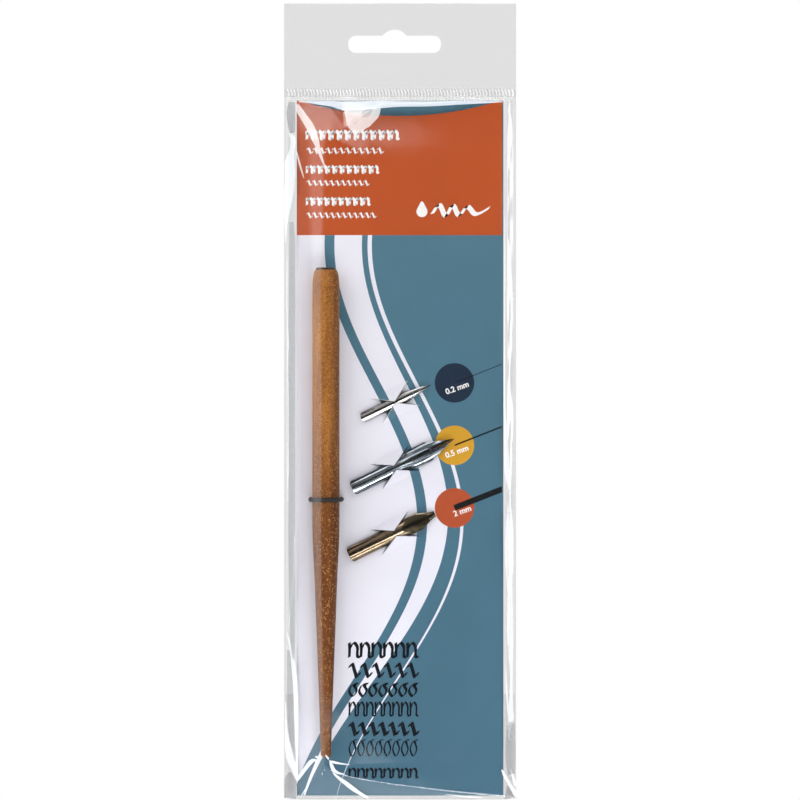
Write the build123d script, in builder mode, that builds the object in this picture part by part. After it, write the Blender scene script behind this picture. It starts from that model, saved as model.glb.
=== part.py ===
"""A calligraphy set in a clear hanging bag.

A folded display card carries a wooden penholder under an elastic loop and three
steel nibs tucked under the corners of crossed slits. The card sits in a film bag
with a punched header at the top and an adhesive flap folded up behind it.

Frame: +Z runs up to the header, -Y faces the viewer, +X is the viewer's right.
The origin is the middle of the hang slot, between the two films of the bag.
"""

from build123d import *
from math import asin, atan2, cos, degrees, radians, sin
import os

# ---- driving dimensions, in millimetres and degrees --------------------------------

# bag
film = 0.15
bag_width = 80.0
bag_shift = 1.9                 # the slot is punched this far left of the bag's middle
header_above_slot = 14.4
header_below_slot = 18.1
room_below_holder = 14.8        # from the holder's tip to the bag's bottom fold
side_weld = 1.2
foot_land = 0.3                 # how far the tent's foot stands in from the weld's edge

# hang slot
slot_width = 32.0
slot_height = 6.0
slot_arch_radius = 5.0
slot_corner = 2.6

# ribbed seam under the header
seam_height = 2.7
rib_pitch = 1.6
rib_width = 0.7
rib_rise = 0.16
rib_margin = 1.0
rib_slant = -6.0

# closing flap
flap_height = 36.0
flap_side_inset = 0.4
tape_height = 9.0
tape_inset = 3.0
tape_thickness = 0.08
seal_gap = 0.06

# folded card
stock = 0.4
card_side_margin = 4.4          # from each side of the bag to the card
card_top_gap = 1.4              # from the seam's lower edge to the card's top
card_bottom_gap = 0.9
card_back_gap = 0.1
fold_gap = 1.8                  # inside the fold, between the two panels
front_trim_right = 0.5
front_trim_bottom = 0.4
top_cut_depth = 5.5

# penholder
holder_length = 167.0
holder_from_fold = 10.2         # from the card's folded edge to the holder's axis
holder_below_card_top = 58.7
holder_radius = 4.65
holder_mouth_radius = 3.85
holder_shoulder = 6.5
holder_straight = 88.0          # from the mouth to where the taper starts
# the taper's curve: (share of its length, share of its fall in radius)
holder_taper = [(0.09, 0.07), (0.17, 0.18), (0.245, 0.275), (0.35, 0.375)]
holder_taper += [(0.465, 0.49), (0.62, 0.65), (0.80, 0.825), (0.925, 0.94)]
holder_tip_radius = 1.75
holder_tip_round = 1.3
holder_rest = 0.05
holder_travel = 40.0

# nib clip in the holder's mouth
clip_bore_radius = 3.2
clip_bore_depth = 17.0
clip_wall = 0.22
clip_rise = 0.75
clip_rim_radius = 3.5
prong_gap = 0.42                # annular room for a nib's shank
prong_wall = 0.3
prong_below_mouth = 1.0
prong_slot = 1.3
prong_base = 0.6

# elastic loop
cord_diameter = 1.3
cord_clearance = 0.06
cord_sides = 8
cord_hole_diameter = 1.5
loop_below_mouth = 78.6
barb_diameter = 1.5
barb_length = 8.0
barb_sides = 10
barb_chamfer = 0.35

# crossed slits that hold the nibs
slit_arm = 8.6
slit_half_angle = 33.0
flap_stretch = 0.5              # a bent flap's point reaches this much past the crossing
nib_tilt = 26.0                 # the nibs point up to the right by this much
slit_off_middle = 1.7           # the crossings stand this far left of the card's middle
slit_below_card_top = 103.9
slit_pitch = 22.5
back_flap_angle = 7.0
nib_clearance = 0.06

# nibs: distances run from the crossing of the slits, backwards and forwards
sheet = 0.25
nib_split = 0.12
body_blend = 3.5                # length over which a shank swells into its body
small_shank_radius = 1.85
small_tail = 13.0
small_tip = 13.7
small_shoulder = 4.5
small_crown_drop = 0.9
small_vent = 0.35

pointed_shank_radius = 2.67
pointed_tail = 16.5
pointed_tip = 22.5
pointed_body_radius = 4.3
pointed_body_half_width = 3.45
pointed_body_start = 6.5
pointed_body_end = 12.8
pointed_vent = 0.45
pointed_crown_drop = 1.5

broad_shank_radius = 2.8
broad_tail = 17.6
broad_tip = 15.2
broad_body_radius = 3.9
broad_body_half_width = 3.1
broad_body_start = 6.5
broad_body_end = 9.4
broad_edge_width = 2.0
broad_crown_drop = 1.7
tail_corner = 1.3

# reservoir plate clipped over the broad nib
plate_sheet = 0.2
plate_gap = 0.05
plate_start = 2.6
plate_end_gap = 1.0
plate_half_width = 2.7
plate_tip_half_width = 0.55

# ---- values worked out from them ----------------------------------------------------

bag_left = bag_shift - bag_width / 2
bag_right = bag_shift + bag_width / 2
seam_bottom = -header_below_slot
seam_top = seam_bottom + seam_height

card_width = bag_width - 2 * card_side_margin
card_left = bag_shift - card_width / 2
card_right = bag_shift + card_width / 2
card_top = seam_bottom - card_top_gap
back_panel_y = -card_back_gap
card_front_y = back_panel_y - 2 * stock - fold_gap

holder_x = card_left + holder_from_fold
holder_top = card_top - holder_below_card_top
holder_y = card_front_y - holder_rest - holder_radius
holder_tip_z = holder_top - holder_length
bag_bottom = holder_tip_z - room_below_holder
card_bottom = bag_bottom + card_bottom_gap
card_height = card_top - card_bottom
loop_z = holder_top - loop_below_mouth
loop_radius = holder_radius + cord_clearance + cord_diameter / 2

# heights of the front film, measured out from the back film
edge_left = card_left - 0.5
edge_right = card_right + 0.5
foot_left = bag_left + side_weld - foot_land
foot_right = bag_right - side_weld + foot_land
tent_low = -card_front_y + 0.3
tent_crease = 0.05
seam_bulge = 1.3 * film
tent_ridge_radius = loop_radius + cord_diameter / 2 + 0.35
tent_tip_radius = holder_tip_radius + 1.0
tent_shoulder_left = tent_low + 1.2
tent_shoulder_right = tent_low + 2.2
shoulder_round = 1.5

slit_x = bag_shift - slit_off_middle
slit_top_z = card_top - slit_below_card_top
nib_spots = [slit_top_z - i * slit_pitch for i in range(3)]


def nib_frame(z):
    """Frame of one nib: X along it towards the tip, Z out of the card."""
    along = (cos(radians(nib_tilt)), 0, sin(radians(nib_tilt)))
    return Plane(origin=(slit_x, card_front_y, z), x_dir=along, z_dir=(0, -1, 0))


def keep(part, name):
    """Write one finished piece as its own STEP file."""
    part.label = name
    export_step(part, f"parts/{name}.step")


os.makedirs("parts", exist_ok=True)

# ---- header strip: a folded ply with the hang slot and the ribbed seam ---------------

bag_middle = Location((bag_shift, 0))
header_height = header_above_slot + header_below_slot
rib_count = int((bag_width - 2 * rib_margin) // rib_pitch) + 1

with BuildPart() as header_strip:
    with BuildSketch(Plane.YZ.offset(bag_left)):
        with Locations((0, header_above_slot - header_height / 2)):
            Rectangle(4 * film, header_height)
        with Locations((0, header_above_slot - header_height / 2 - film)):
            Rectangle(2 * film, header_height, mode=Mode.SUBTRACT)
    extrude(amount=bag_width)
    with BuildSketch(Plane.XZ.offset(-4 * film)):
        Rectangle(slot_width, slot_height)
        fillet(vertices(), radius=slot_corner)
        with Locations((0, slot_height / 2 - slot_arch_radius + 2.1)):
            Circle(slot_arch_radius)
        with Locations((0, -slot_height / 2 - slot_arch_radius)):
            Rectangle(slot_width, 2 * slot_arch_radius, mode=Mode.SUBTRACT)
    extrude(amount=8 * film, mode=Mode.SUBTRACT)
    with BuildSketch(Plane.XZ.offset(2 * film - rib_rise / 2)):
        with Locations((bag_shift, (seam_top + seam_bottom) / 2)):
            with GridLocations(rib_pitch, 0, rib_count, 1):
                Rectangle(rib_width, seam_height - 0.3, rotation=rib_slant)
    extrude(amount=1.5 * rib_rise)
keep(header_strip.part, "header_strip")

# ---- front film: a tent over the card and the holder ---------------------------------


def tent_corners(left, ridge, right):
    """Corner points of the tent's outside at one height, foot to foot."""
    return [(foot_left, film), left, ridge, right, (foot_right, film)]


def tent_profile(z, left, ridge, right, radius):
    """Closed thin profile of the front film at height z.

    left, ridge and right are the three upper corners as (x, distance out).
    """
    level = Plane(origin=(0, 0, z), x_dir=(1, 0, 0), z_dir=(0, 0, -1))
    with BuildSketch(level) as profile:
        with BuildLine():
            rounds = [shoulder_round, radius, shoulder_round]
            FilletPolyline(*tent_corners(left, ridge, right), radius=rounds)
            offset(amount=film, side=Side.RIGHT)
        make_face()
    return profile.sketch


def ridge_corner(left, right, centre, radius):
    """Where the two slopes from left and right meet when both touch a circle."""
    def slope_angle(corner, side):
        dx, dy = centre[0] - corner[0], centre[1] - corner[1]
        return atan2(dy, dx) + side * asin(radius / (dx * dx + dy * dy) ** 0.5)
    a = slope_angle(left, 1)
    b = slope_angle(right, -1)
    reach = (right[1] - left[1]) * cos(b) - (right[0] - left[0]) * sin(b)
    reach = reach / sin(a - b)
    return (left[0] + reach * cos(a), left[1] + reach * sin(a))


holder_centre = (holder_x, -holder_y)
low_tent = [(edge_left, tent_low), (holder_x, tent_low + tent_crease), (edge_right, tent_low)]
flat_tent = [(x, seam_bulge * (out > 0)) for x, out in low_tent]
flat_tent[1] = (holder_x, seam_bulge + tent_crease)

full_left = (edge_left - 0.3, tent_shoulder_left)
full_right = (edge_right + 0.2, tent_shoulder_right)
full_ridge = ridge_corner(full_left, full_right, holder_centre, tent_ridge_radius)
tip_left = (edge_left - 0.3, tent_low + 0.5)
tip_right = (edge_right + 0.2, tent_low + 1.2)
tip_ridge = ridge_corner(tip_left, tip_right, holder_centre, tent_tip_radius)

sections = [
    (seam_bottom, *flat_tent, 3.0),
    (card_top + 0.4, *low_tent, 3.0),
    (holder_top + holder_travel + 6, full_left, full_ridge, full_right, tent_ridge_radius),
    (holder_top - holder_straight, full_left, full_ridge, full_right, tent_ridge_radius),
    (holder_tip_z - 2.0, tip_left, tip_ridge, tip_right, tent_tip_radius),
    (bag_bottom, *low_tent, 3.0),
]

with BuildPart() as bag_front_film:
    for section in sections:
        add(tent_profile(*section))
    loft(ruled=True)
    with Locations((bag_shift, -film / 2, (seam_top + seam_bottom) / 2)):
        Box(bag_width, film, seam_height)
    for weld_x in (bag_left + side_weld / 2, bag_right - side_weld / 2):
        with Locations((weld_x, -film / 2, (seam_top + bag_bottom) / 2)):
            Box(side_weld, film, seam_top - bag_bottom)
keep(bag_front_film.part, "bag_front_film")

with BuildPart() as bag_back_film:
    with Locations((bag_shift, film / 2, (seam_top + bag_bottom) / 2)):
        Box(bag_width, film, seam_top - bag_bottom)
keep(bag_back_film.part, "bag_back_film")

# ---- closing flap: under the bag's mouth and up behind it ----------------------------

flap_face_y = film + tape_thickness + seal_gap
flap_width = bag_width - 2 * flap_side_inset

with BuildPart() as closure_flap:
    with BuildSketch(Plane(origin=(0, 0, bag_bottom), x_dir=(1, 0, 0), z_dir=(0, 0, -1))):
        with BuildLine():
            rounds = [shoulder_round, 3.0, shoulder_round]
            front_edge = FilletPolyline(*tent_corners(*low_tent), radius=rounds)
            Polyline(front_edge @ 1, (foot_right, -film), (foot_left, -film), front_edge @ 0)
        make_face()
        with Locations((bag_shift, -flap_face_y / 2 - film / 2)):
            Rectangle(flap_width, flap_face_y + film)
    extrude(amount=film)
    with Locations((bag_shift, flap_face_y + film / 2, bag_bottom - film + flap_height / 2)):
        Box(flap_width, film, flap_height)
keep(closure_flap.part, "closure_flap")

tape_z = bag_bottom - film + flap_height - tape_inset - tape_height / 2
with BuildPart() as flap_adhesive:
    with Locations((bag_shift, flap_face_y - tape_thickness / 2, tape_z)):
        Box(flap_width - 2 * tape_inset, tape_thickness, tape_height)
keep(flap_adhesive.part, "flap_adhesive")

# ---- display card: folded at its left edge, with the nib slits and the cord holes ----

fold_radius = stock + fold_gap / 2
fold_centre = (card_left + fold_radius, back_panel_y - fold_radius)
front_height = card_height - front_trim_bottom
front_width = card_width - fold_radius - front_trim_right
slit_u = slit_arm * cos(radians(slit_half_angle))
slit_v = slit_arm * sin(radians(slit_half_angle))


def lift_angle(shank_radius):
    """How far a side flap bends up, about its back edge, to pass over a shank."""
    drop = stock + nib_clearance
    reach = (slit_v * slit_v + drop * drop) ** 0.5
    return degrees(asin((shank_radius + 2 * nib_clearance) / reach) + atan2(drop, slit_v))


shank_radii = [small_shank_radius, pointed_shank_radius, broad_shank_radius]

with BuildPart() as display_card:
    with BuildSketch(Plane.XY.offset(card_bottom)):
        with Locations(fold_centre):
            Circle(fold_radius)
            Circle(fold_radius - stock, mode=Mode.SUBTRACT)
            with Locations((fold_radius, 0)):
                Rectangle(2 * fold_radius, 4 * fold_radius, mode=Mode.SUBTRACT)
        back_width = card_width - fold_radius
        with Locations((card_right - back_width / 2, back_panel_y - stock / 2)):
            Rectangle(back_width, stock)
        front_x = card_right - front_trim_right - front_width / 2
        with Locations((front_x, card_front_y + stock / 2)):
            Rectangle(front_width, stock)
    extrude(amount=card_height)
    # the front panel is cut to a shallow hollow at the top and is a little short below
    with BuildSketch(Plane.XZ.offset(-card_front_y)):
        with BuildLine():
            hollow = ThreePointArc(
                (card_left, card_top),
                (bag_shift, card_top - top_cut_depth),
                (card_right - front_trim_right, card_top),
            )
            Polyline(hollow @ 1, (card_right, card_top + 1), (card_left, card_top + 1), hollow @ 0)
        make_face()
        with Locations((bag_shift, card_bottom)):
            Rectangle(card_width + 2, 2 * front_trim_bottom)
    extrude(amount=-(fold_radius), mode=Mode.SUBTRACT)
    # cord holes either side of the holder
    with BuildSketch(Plane.XZ.offset(-card_front_y)):
        with Locations((holder_x - loop_radius, loop_z), (holder_x + loop_radius, loop_z)):
            Circle(cord_hole_diameter / 2)
    extrude(amount=-stock, mode=Mode.SUBTRACT)
    # crossed slits: side flaps bend up over the nib, end flaps bend back under it
    for spot_z, shank_radius in zip(nib_spots, shank_radii):
        face = nib_frame(spot_z)
        with BuildSketch(face):
            Rectangle(2 * slit_u, 2 * slit_v)
        extrude(amount=-stock, mode=Mode.SUBTRACT)
        for turn in (0, 180):
            side = Plane(face * Location((0, 0, 0), (0, 0, turn)))
            lifted = side * Location((0, slit_v, -stock), (-lift_angle(shank_radius), 0, 0))
            with BuildSketch(Plane(lifted)):
                with BuildLine():
                    Polyline((-slit_u, 0), (slit_u, 0), (0, -slit_v - flap_stretch), close=True)
                make_face()
            extrude(amount=stock)
            lowered = side * Location((-slit_u, 0, 0), (0, back_flap_angle, 0))
            with BuildSketch(Plane(lowered)):
                with BuildLine():
                    Polyline((0, slit_v), (0, -slit_v), (slit_u, 0), close=True)
                make_face()
            extrude(amount=-stock)
keep(display_card.part, "display_card")

# ---- penholder: turned wood with a steel nib clip in its mouth -----------------------

with BuildPart() as penholder:
    with BuildSketch(Plane.XZ):
        with BuildLine():
            swell = holder_radius - holder_mouth_radius
            shoulder = Polyline(
                (holder_mouth_radius, 0),
                (holder_mouth_radius + swell * 0.3, -holder_shoulder * 0.12),
                (holder_mouth_radius + swell * 0.66, -holder_shoulder * 0.35),
                (holder_mouth_radius + swell * 0.9, -holder_shoulder * 0.65),
                (holder_radius, -holder_shoulder),
            )
            taper_length = holder_length - holder_tip_round - holder_straight
            fall = holder_radius - holder_tip_radius
            taper = Polyline(
                shoulder @ 1,
                (holder_radius, -holder_straight),
                *[
                    (holder_radius - fall * drop, -holder_straight - taper_length * along)
                    for along, drop in holder_taper
                ],
                (holder_tip_radius, -holder_length + holder_tip_round),
            )
            ball = (holder_tip_radius**2 + holder_tip_round**2) / (2 * holder_tip_round)
            tip = RadiusArc(taper @ 1, (0, -holder_length), ball)
            Polyline(tip @ 1, (0, 0), shoulder @ 0)
        make_face()
        with Locations((clip_bore_radius / 2, -clip_bore_depth / 2)):
            Rectangle(clip_bore_radius, clip_bore_depth, mode=Mode.SUBTRACT)
    revolve(axis=Axis.Z)
to_seat = Location((holder_x, holder_y, holder_top))
keep(to_seat * penholder.part, "penholder")

sleeve_inner = clip_bore_radius - clip_wall
prong_outer = sleeve_inner - prong_gap

with BuildPart() as clip_sleeve:
    with BuildSketch(Plane.XY.offset(-clip_bore_depth)):
        Circle(clip_bore_radius)
        Circle(sleeve_inner, mode=Mode.SUBTRACT)
    extrude(amount=clip_bore_depth)
    with BuildSketch():
        Circle(clip_rim_radius)
        Circle(sleeve_inner, mode=Mode.SUBTRACT)
    extrude(amount=clip_rise)
    chamfer(clip_sleeve.edges().group_by(Axis.Z)[-1].sort_by(SortBy.RADIUS)[-1], length=0.25)
keep(to_seat * clip_sleeve.part, "clip_sleeve")

with BuildPart() as clip_prongs:
    with BuildSketch(Plane.XY.offset(-clip_bore_depth)):
        Circle(sleeve_inner)
    extrude(amount=prong_base)
    prong_height = clip_bore_depth - prong_base - prong_below_mouth
    with BuildSketch(Plane.XY.offset(-clip_bore_depth + prong_base)):
        Circle(prong_outer)
        Circle(prong_outer - prong_wall, mode=Mode.SUBTRACT)
        Rectangle(4 * prong_outer, prong_slot, rotation=45, mode=Mode.SUBTRACT)
        Rectangle(4 * prong_outer, prong_slot, rotation=-45, mode=Mode.SUBTRACT)
    extrude(amount=prong_height)
keep(to_seat * clip_prongs.part, "clip_prongs")

# ---- elastic loop: over the holder, through the card, with a barb at each end --------

barb_y = back_panel_y - stock - fold_gap / 2
barb_spots = [(holder_x - loop_radius, barb_y), (holder_x + loop_radius, barb_y)]

with BuildPart() as elastic_barbs:
    with BuildSketch(Plane.XY.offset(loop_z - barb_length / 2)):
        with Locations(*barb_spots):
            RegularPolygon(barb_diameter / 2, barb_sides)
    extrude(amount=barb_length)
    chamfer(elastic_barbs.edges().filter_by(Plane.XY), length=barb_chamfer)
keep(elastic_barbs.part, "elastic_barbs")

with BuildPart() as elastic_cord:
    with BuildLine(Plane.XY.offset(loop_z)) as loop_path:
        Line(barb_spots[0], (barb_spots[0][0], holder_y))
        ThreePointArc(
            (holder_x - loop_radius, holder_y),
            (holder_x, holder_y - loop_radius),
            (holder_x + loop_radius, holder_y),
        )
        Line((barb_spots[1][0], holder_y), barb_spots[1])
    with BuildSketch(Plane(origin=(*barb_spots[0], loop_z), z_dir=(0, -1, 0))):
        RegularPolygon(cord_diameter / 2, cord_sides)
    sweep(path=loop_path.line)
    add(elastic_barbs.part, mode=Mode.SUBTRACT)
keep(elastic_cord.part, "elastic_cord")

# ---- nibs: rolled sheet, seated under the lifted flaps of the slits ------------------


def rolled_sheet(frame, stations, thickness, outline, lift=0.0, vent=None):
    """A sheet rolled along the frame's X and trimmed to an outline seen from above.

    stations are (distance along, outer radius, crown height); the outline is one
    side's (along, half width) corners from tail to tip, mirrored to the other side.
    vent is (distance along, radius) of a hole; a split runs from it to the tip.
    """
    with BuildPart() as piece:
        for thinner, mode in ((0, Mode.ADD), (thickness, Mode.SUBTRACT)):
            for along, radius, crown in stations:
                middle = frame.from_local_coords((along, 0, crown + lift - radius))
                with BuildSketch(Plane(origin=middle, x_dir=frame.y_dir, z_dir=frame.x_dir)):
                    Circle(radius + lift - thinner)
            loft(ruled=True, mode=mode)
        with BuildSketch(frame.offset(nib_clearance)):
            with BuildLine():
                upper = Polyline(*outline)
                lower = Polyline(*[(along, -half) for along, half in outline])
                Line(upper @ 0, lower @ 0)
                if (upper @ 1 - lower @ 1).length > 0.01:
                    Line(upper @ 1, lower @ 1)
            make_face()
        extrude(amount=2 * slit_v, mode=Mode.INTERSECT)
        if vent:
            vent_at, vent_radius = vent
            split_length = outline[-1][0] + 1 - vent_at
            with BuildSketch(frame):
                with Locations((vent_at, 0)):
                    Circle(vent_radius)
                with Locations((vent_at + split_length / 2, 0)):
                    Rectangle(split_length, nib_split)
            extrude(amount=2 * slit_v, mode=Mode.SUBTRACT)
    return piece


def blend(start, end, portion):
    """Value part of the way from start to end, easing in and out."""
    ease = portion * portion * (3 - 2 * portion)
    return start + (end - start) * ease


small_frame = nib_frame(nib_spots[0])
small_edge = small_shank_radius + 0.1
small_nib = rolled_sheet(
    small_frame,
    [
        (-small_tail, small_shank_radius, small_shank_radius),
        (small_shoulder + 1.0, small_shank_radius, small_shank_radius),
        (small_tip, small_shank_radius * 0.8, small_shank_radius - small_crown_drop),
    ],
    sheet * 0.8,
    [
        (-small_tail, small_edge - tail_corner),
        (-small_tail + tail_corner / 2, small_edge - tail_corner / 4),
        (-small_tail + tail_corner, small_edge),
        (small_shoulder, small_edge),
        (small_shoulder + 1.0, small_edge * 0.92),
        (small_shoulder + 2.0, small_edge * 0.62),
        (small_shoulder + 5.5, small_edge * 0.42),
        (small_tip - 0.8, nib_split * 1.6),
        (small_tip, nib_split * 1.1),
    ],
    vent=(small_shoulder + 2.4, small_vent),
)
keep(small_nib.part, "small_nib")


def leaf_outline(tail, edge, half_width, start, end, tip, tip_half):
    """Shank, swelling body and tapering point of a pen nib, tail to tip."""
    neck = start - body_blend
    points = [(-tail, edge - tail_corner)]
    points += [(-tail + tail_corner / 3, edge - tail_corner / 3)]
    points += [(-tail + tail_corner, edge), (neck, edge)]
    points += [(neck + body_blend * p, blend(edge, half_width, p)) for p in (0.33, 0.67, 1.0)]
    points += [(end, half_width), (end + 0.5, half_width - 0.5)]
    taper = tip - end
    points += [(end + taper * 0.35, half_width * 0.62 + tip_half * 0.2)]
    points += [(end + taper * 0.65, half_width * 0.3 + tip_half * 0.5)]
    points += [(tip, tip_half)]
    return points


def leaf_stations(tail, shank_radius, body_radius, start, end, tip, drop):
    """Roll of a pen nib: round shank, flatter body, crown falling to the tip."""
    neck = start - body_blend
    rows = [(-tail, shank_radius, shank_radius), (neck, shank_radius, shank_radius)]
    for p in (0.25, 0.5, 0.75, 1.0):
        rows.append((neck + body_blend * p, blend(shank_radius, body_radius, p), shank_radius))
    rows.append((end, body_radius, shank_radius - drop * 0.3))
    rows.append((tip, body_radius * 0.85, shank_radius - drop))
    return rows


pointed_frame = nib_frame(nib_spots[1])
pointed_nib = rolled_sheet(
    pointed_frame,
    leaf_stations(
        pointed_tail, pointed_shank_radius, pointed_body_radius,
        pointed_body_start, pointed_body_end, pointed_tip, pointed_crown_drop,
    ),
    sheet,
    leaf_outline(
        pointed_tail, pointed_shank_radius + 0.1, pointed_body_half_width,
        pointed_body_start, pointed_body_end, pointed_tip, nib_split * 1.2,
    ),
    vent=(pointed_body_end + 0.9, pointed_vent),
)
keep(pointed_nib.part, "pointed_nib")

broad_frame = nib_frame(nib_spots[2])
broad_rows = leaf_stations(
    broad_tail, broad_shank_radius, broad_body_radius,
    broad_body_start, broad_body_end, broad_tip, broad_crown_drop,
)
broad_nib = rolled_sheet(
    broad_frame,
    broad_rows,
    sheet,
    leaf_outline(
        broad_tail, broad_shank_radius + 0.1, broad_body_half_width,
        broad_body_start, broad_body_end, broad_tip, broad_edge_width / 2,
    ),
)
keep(broad_nib.part, "broad_nib")

plate_end = broad_tip - plate_end_gap
plate_middle = (broad_body_start + broad_body_end) / 2 - 0.6
broad_reservoir = rolled_sheet(
    broad_frame,
    broad_rows,
    plate_sheet,
    [
        (plate_start, 0.5),
        (plate_start + 1.2, plate_half_width * 0.55),
        (plate_start + 2.6, plate_half_width * 0.88),
        (plate_middle - 0.6, plate_half_width),
        (plate_middle + 1.4, plate_half_width),
        (plate_end - 2.6, plate_half_width * 0.55),
        (plate_end - 1.0, plate_tip_half_width),
        (plate_end, plate_tip_half_width * 0.8),
    ],
    lift=plate_gap + plate_sheet,
)
keep(broad_reservoir.part, "broad_nib_reservoir")
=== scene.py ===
"""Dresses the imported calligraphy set: a clear hanging bag with its card, holder and nibs.

Lengths are in millimetres in the part's own frame (+Z up to the header, -Y out of the printed
front) and become metres when a mesh is made; only the camera and the lights are in metres.
"""

import logging
import math
from dataclasses import dataclass, field
from enum import Enum
from functools import partial
from typing import Callable, Optional, Sequence

import bmesh
import bpy
from mathutils import Matrix, Vector, noise


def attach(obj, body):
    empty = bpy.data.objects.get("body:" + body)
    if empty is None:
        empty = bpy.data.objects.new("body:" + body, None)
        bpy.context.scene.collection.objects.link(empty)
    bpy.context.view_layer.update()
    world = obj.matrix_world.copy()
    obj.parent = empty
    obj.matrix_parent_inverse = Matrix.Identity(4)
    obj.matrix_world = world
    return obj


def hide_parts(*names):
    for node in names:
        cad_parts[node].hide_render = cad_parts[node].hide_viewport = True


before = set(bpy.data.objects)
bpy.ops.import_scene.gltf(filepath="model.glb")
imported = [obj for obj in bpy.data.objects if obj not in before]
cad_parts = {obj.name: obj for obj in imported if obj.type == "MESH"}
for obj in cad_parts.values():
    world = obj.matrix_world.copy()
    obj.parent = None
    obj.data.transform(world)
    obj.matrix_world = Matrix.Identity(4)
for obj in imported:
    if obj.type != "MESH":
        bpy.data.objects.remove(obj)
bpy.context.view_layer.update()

MM = 0.001
MERGE = 0.001                   # points closer than this become one
HOLDER_AXIS = (-23.5, -7.4)     # x and y of the penholder's axis
CARD_FRONT = -2.7               # y of the printed front
CURVE_STEPS = 6                 # points to each stretch of a drawn curve
log = logging.getLogger("calligraphy_set")

Point2 = tuple[float, float]
Point3 = tuple[float, float, float]
Crease = tuple[Point3, ...]     # x, z and half width at each spot
Slack = tuple[Point3, ...]      # size, depth and layer of each noise in a film's unevenness
Stroke = Sequence[Point2]
Mesh = bmesh.types.BMesh
Material = bpy.types.Material
Socket = bpy.types.NodeSocket


# ---- small tools ---------------------------------------------------------------------


def linear(hex_colour: str) -> tuple[float, float, float, float]:
    """Turn an sRGB hex colour into the linear RGBA that shaders use.

    Args:
        hex_colour: A colour such as "#bc5634".

    Returns:
        Linear red, green, blue and an alpha of 1.
    """
    digits = hex_colour.lstrip("#")
    channels = [int(digits[i : i + 2], 16) / 255 for i in (0, 2, 4)]
    flat = [c / 12.92 if c <= 0.04045 else ((c + 0.055) / 1.055) ** 2.4 for c in channels]
    return (flat[0], flat[1], flat[2], 1.0)


def ease(portion: float) -> float:
    """Smooth step of a portion, held between 0 and 1."""
    p = min(1.0, max(0.0, portion))
    return p * p * (3 - 2 * p)


def facing(degrees: float) -> Point2:
    """Cosine and sine of an angle."""
    return (math.cos(math.radians(degrees)), math.sin(math.radians(degrees)))


def mix(start: float, end: float, portion: float) -> float:
    """Value part of the way from start to end."""
    return start + (end - start) * portion


def within(value: float, low: float, high: float, fade: float, fade_high: float = 0.0) -> float:
    """Share that grows from 0 at both limits to 1 in the middle.

    Args:
        value: The place to judge.
        low: The lower limit.
        high: The upper limit.
        fade: How far inside a limit the share is 1.
        fade_high: The same for the upper limit, where it differs.

    Returns:
        The share, from 0 to 1.
    """
    return ease((value - low) / fade) * ease((high - value) / (fade_high or fade))


def spread(start: float, end: float, pitch: float) -> list[float]:
    """Evenly spaced values from start to end, about pitch apart."""
    count = max(1, round(abs(end - start) / pitch))
    return [mix(start, end, i / count) for i in range(count + 1)]


def chain(start: float, *stretches: Point2) -> list[float]:
    """Values in several stretches, each given as its end and its pitch.

    Args:
        start: first value.
        stretches: (end, pitch) of each stretch, in order.

    Returns:
        Every value from start to the last end.
    """
    found = [start]
    for end, pitch in stretches:
        found += spread(found[-1], end, pitch)[1:]
    return found


def along_rows(rows: Sequence[Sequence[float]], at: float) -> Sequence[float]:
    """Read a table with straight lines between its rows.

    Args:
        rows: Rows of numbers; the first is the place, climbing, the rest are values there.
        at: The place to read.

    Returns:
        The other columns' values at that place, held at the ends.
    """
    if at <= rows[0][0]:
        return rows[0][1:]
    for low, high in zip(rows, rows[1:]):
        if at <= high[0]:
            portion = (at - low[0]) / (high[0] - low[0])
            return [mix(a, b, portion) for a, b in zip(low[1:], high[1:])]
    return rows[-1][1:]


def smooth_rows(rows: Sequence[Point2], at: float) -> float:
    """Read a two-column table with a curve through its points.

    Args:
        rows: Points as (place, value), in climbing order of place.
        at: The place to read.

    Returns:
        The curve's value there, held at the ends.
    """
    if at <= rows[0][0]:
        return rows[0][1]
    if at >= rows[-1][0]:
        return rows[-1][1]
    i = next(k for k in range(len(rows) - 1) if at <= rows[k + 1][0])
    before, low, high = rows[max(0, i - 1)], rows[i], rows[i + 1]
    after = rows[min(len(rows) - 1, i + 2)]
    span = high[0] - low[0]
    t = (at - low[0]) / span
    slope_low = (high[1] - before[1]) / (high[0] - before[0]) * span
    slope_high = (after[1] - low[1]) / (after[0] - low[0]) * span
    return (
        (2 * t**3 - 3 * t**2 + 1) * low[1]
        + (t**3 - 2 * t**2 + t) * slope_low
        + (3 * t**2 - 2 * t**3) * high[1]
        + (t**3 - t**2) * slope_high
    )


def curve(points: Sequence[Sequence[float]]) -> list[tuple[float, ...]]:
    """Draw a smooth curve through points of any number of columns.

    Args:
        points: What the curve passes through.

    Returns:
        The curve's points, the ends included.
    """
    ends = [points[0], *points, points[-1]]
    found = []
    for stretch in zip(ends, ends[1:], ends[2:], ends[3:]):
        for k in range(CURVE_STEPS):
            t = k / CURVE_STEPS
            found.append(tuple(
                0.5 * (2 * b + (c - a) * t + (2 * a - 5 * b + 4 * c - d) * t**2
                       + (3 * b - 3 * c + d - a) * t**3)
                for a, b, c, d in zip(*stretch)
            ))
    return [*found, tuple(points[-1])]


class Body(Enum):
    """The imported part's moving bodies."""

    PACK = "pack"
    FLAP = "flap"
    HOLDER = "holder"
    SMALL = "small_nib"
    POINTED = "pointed_nib"
    BROAD = "broad_nib"


# ---- shader graphs -------------------------------------------------------------------


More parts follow.
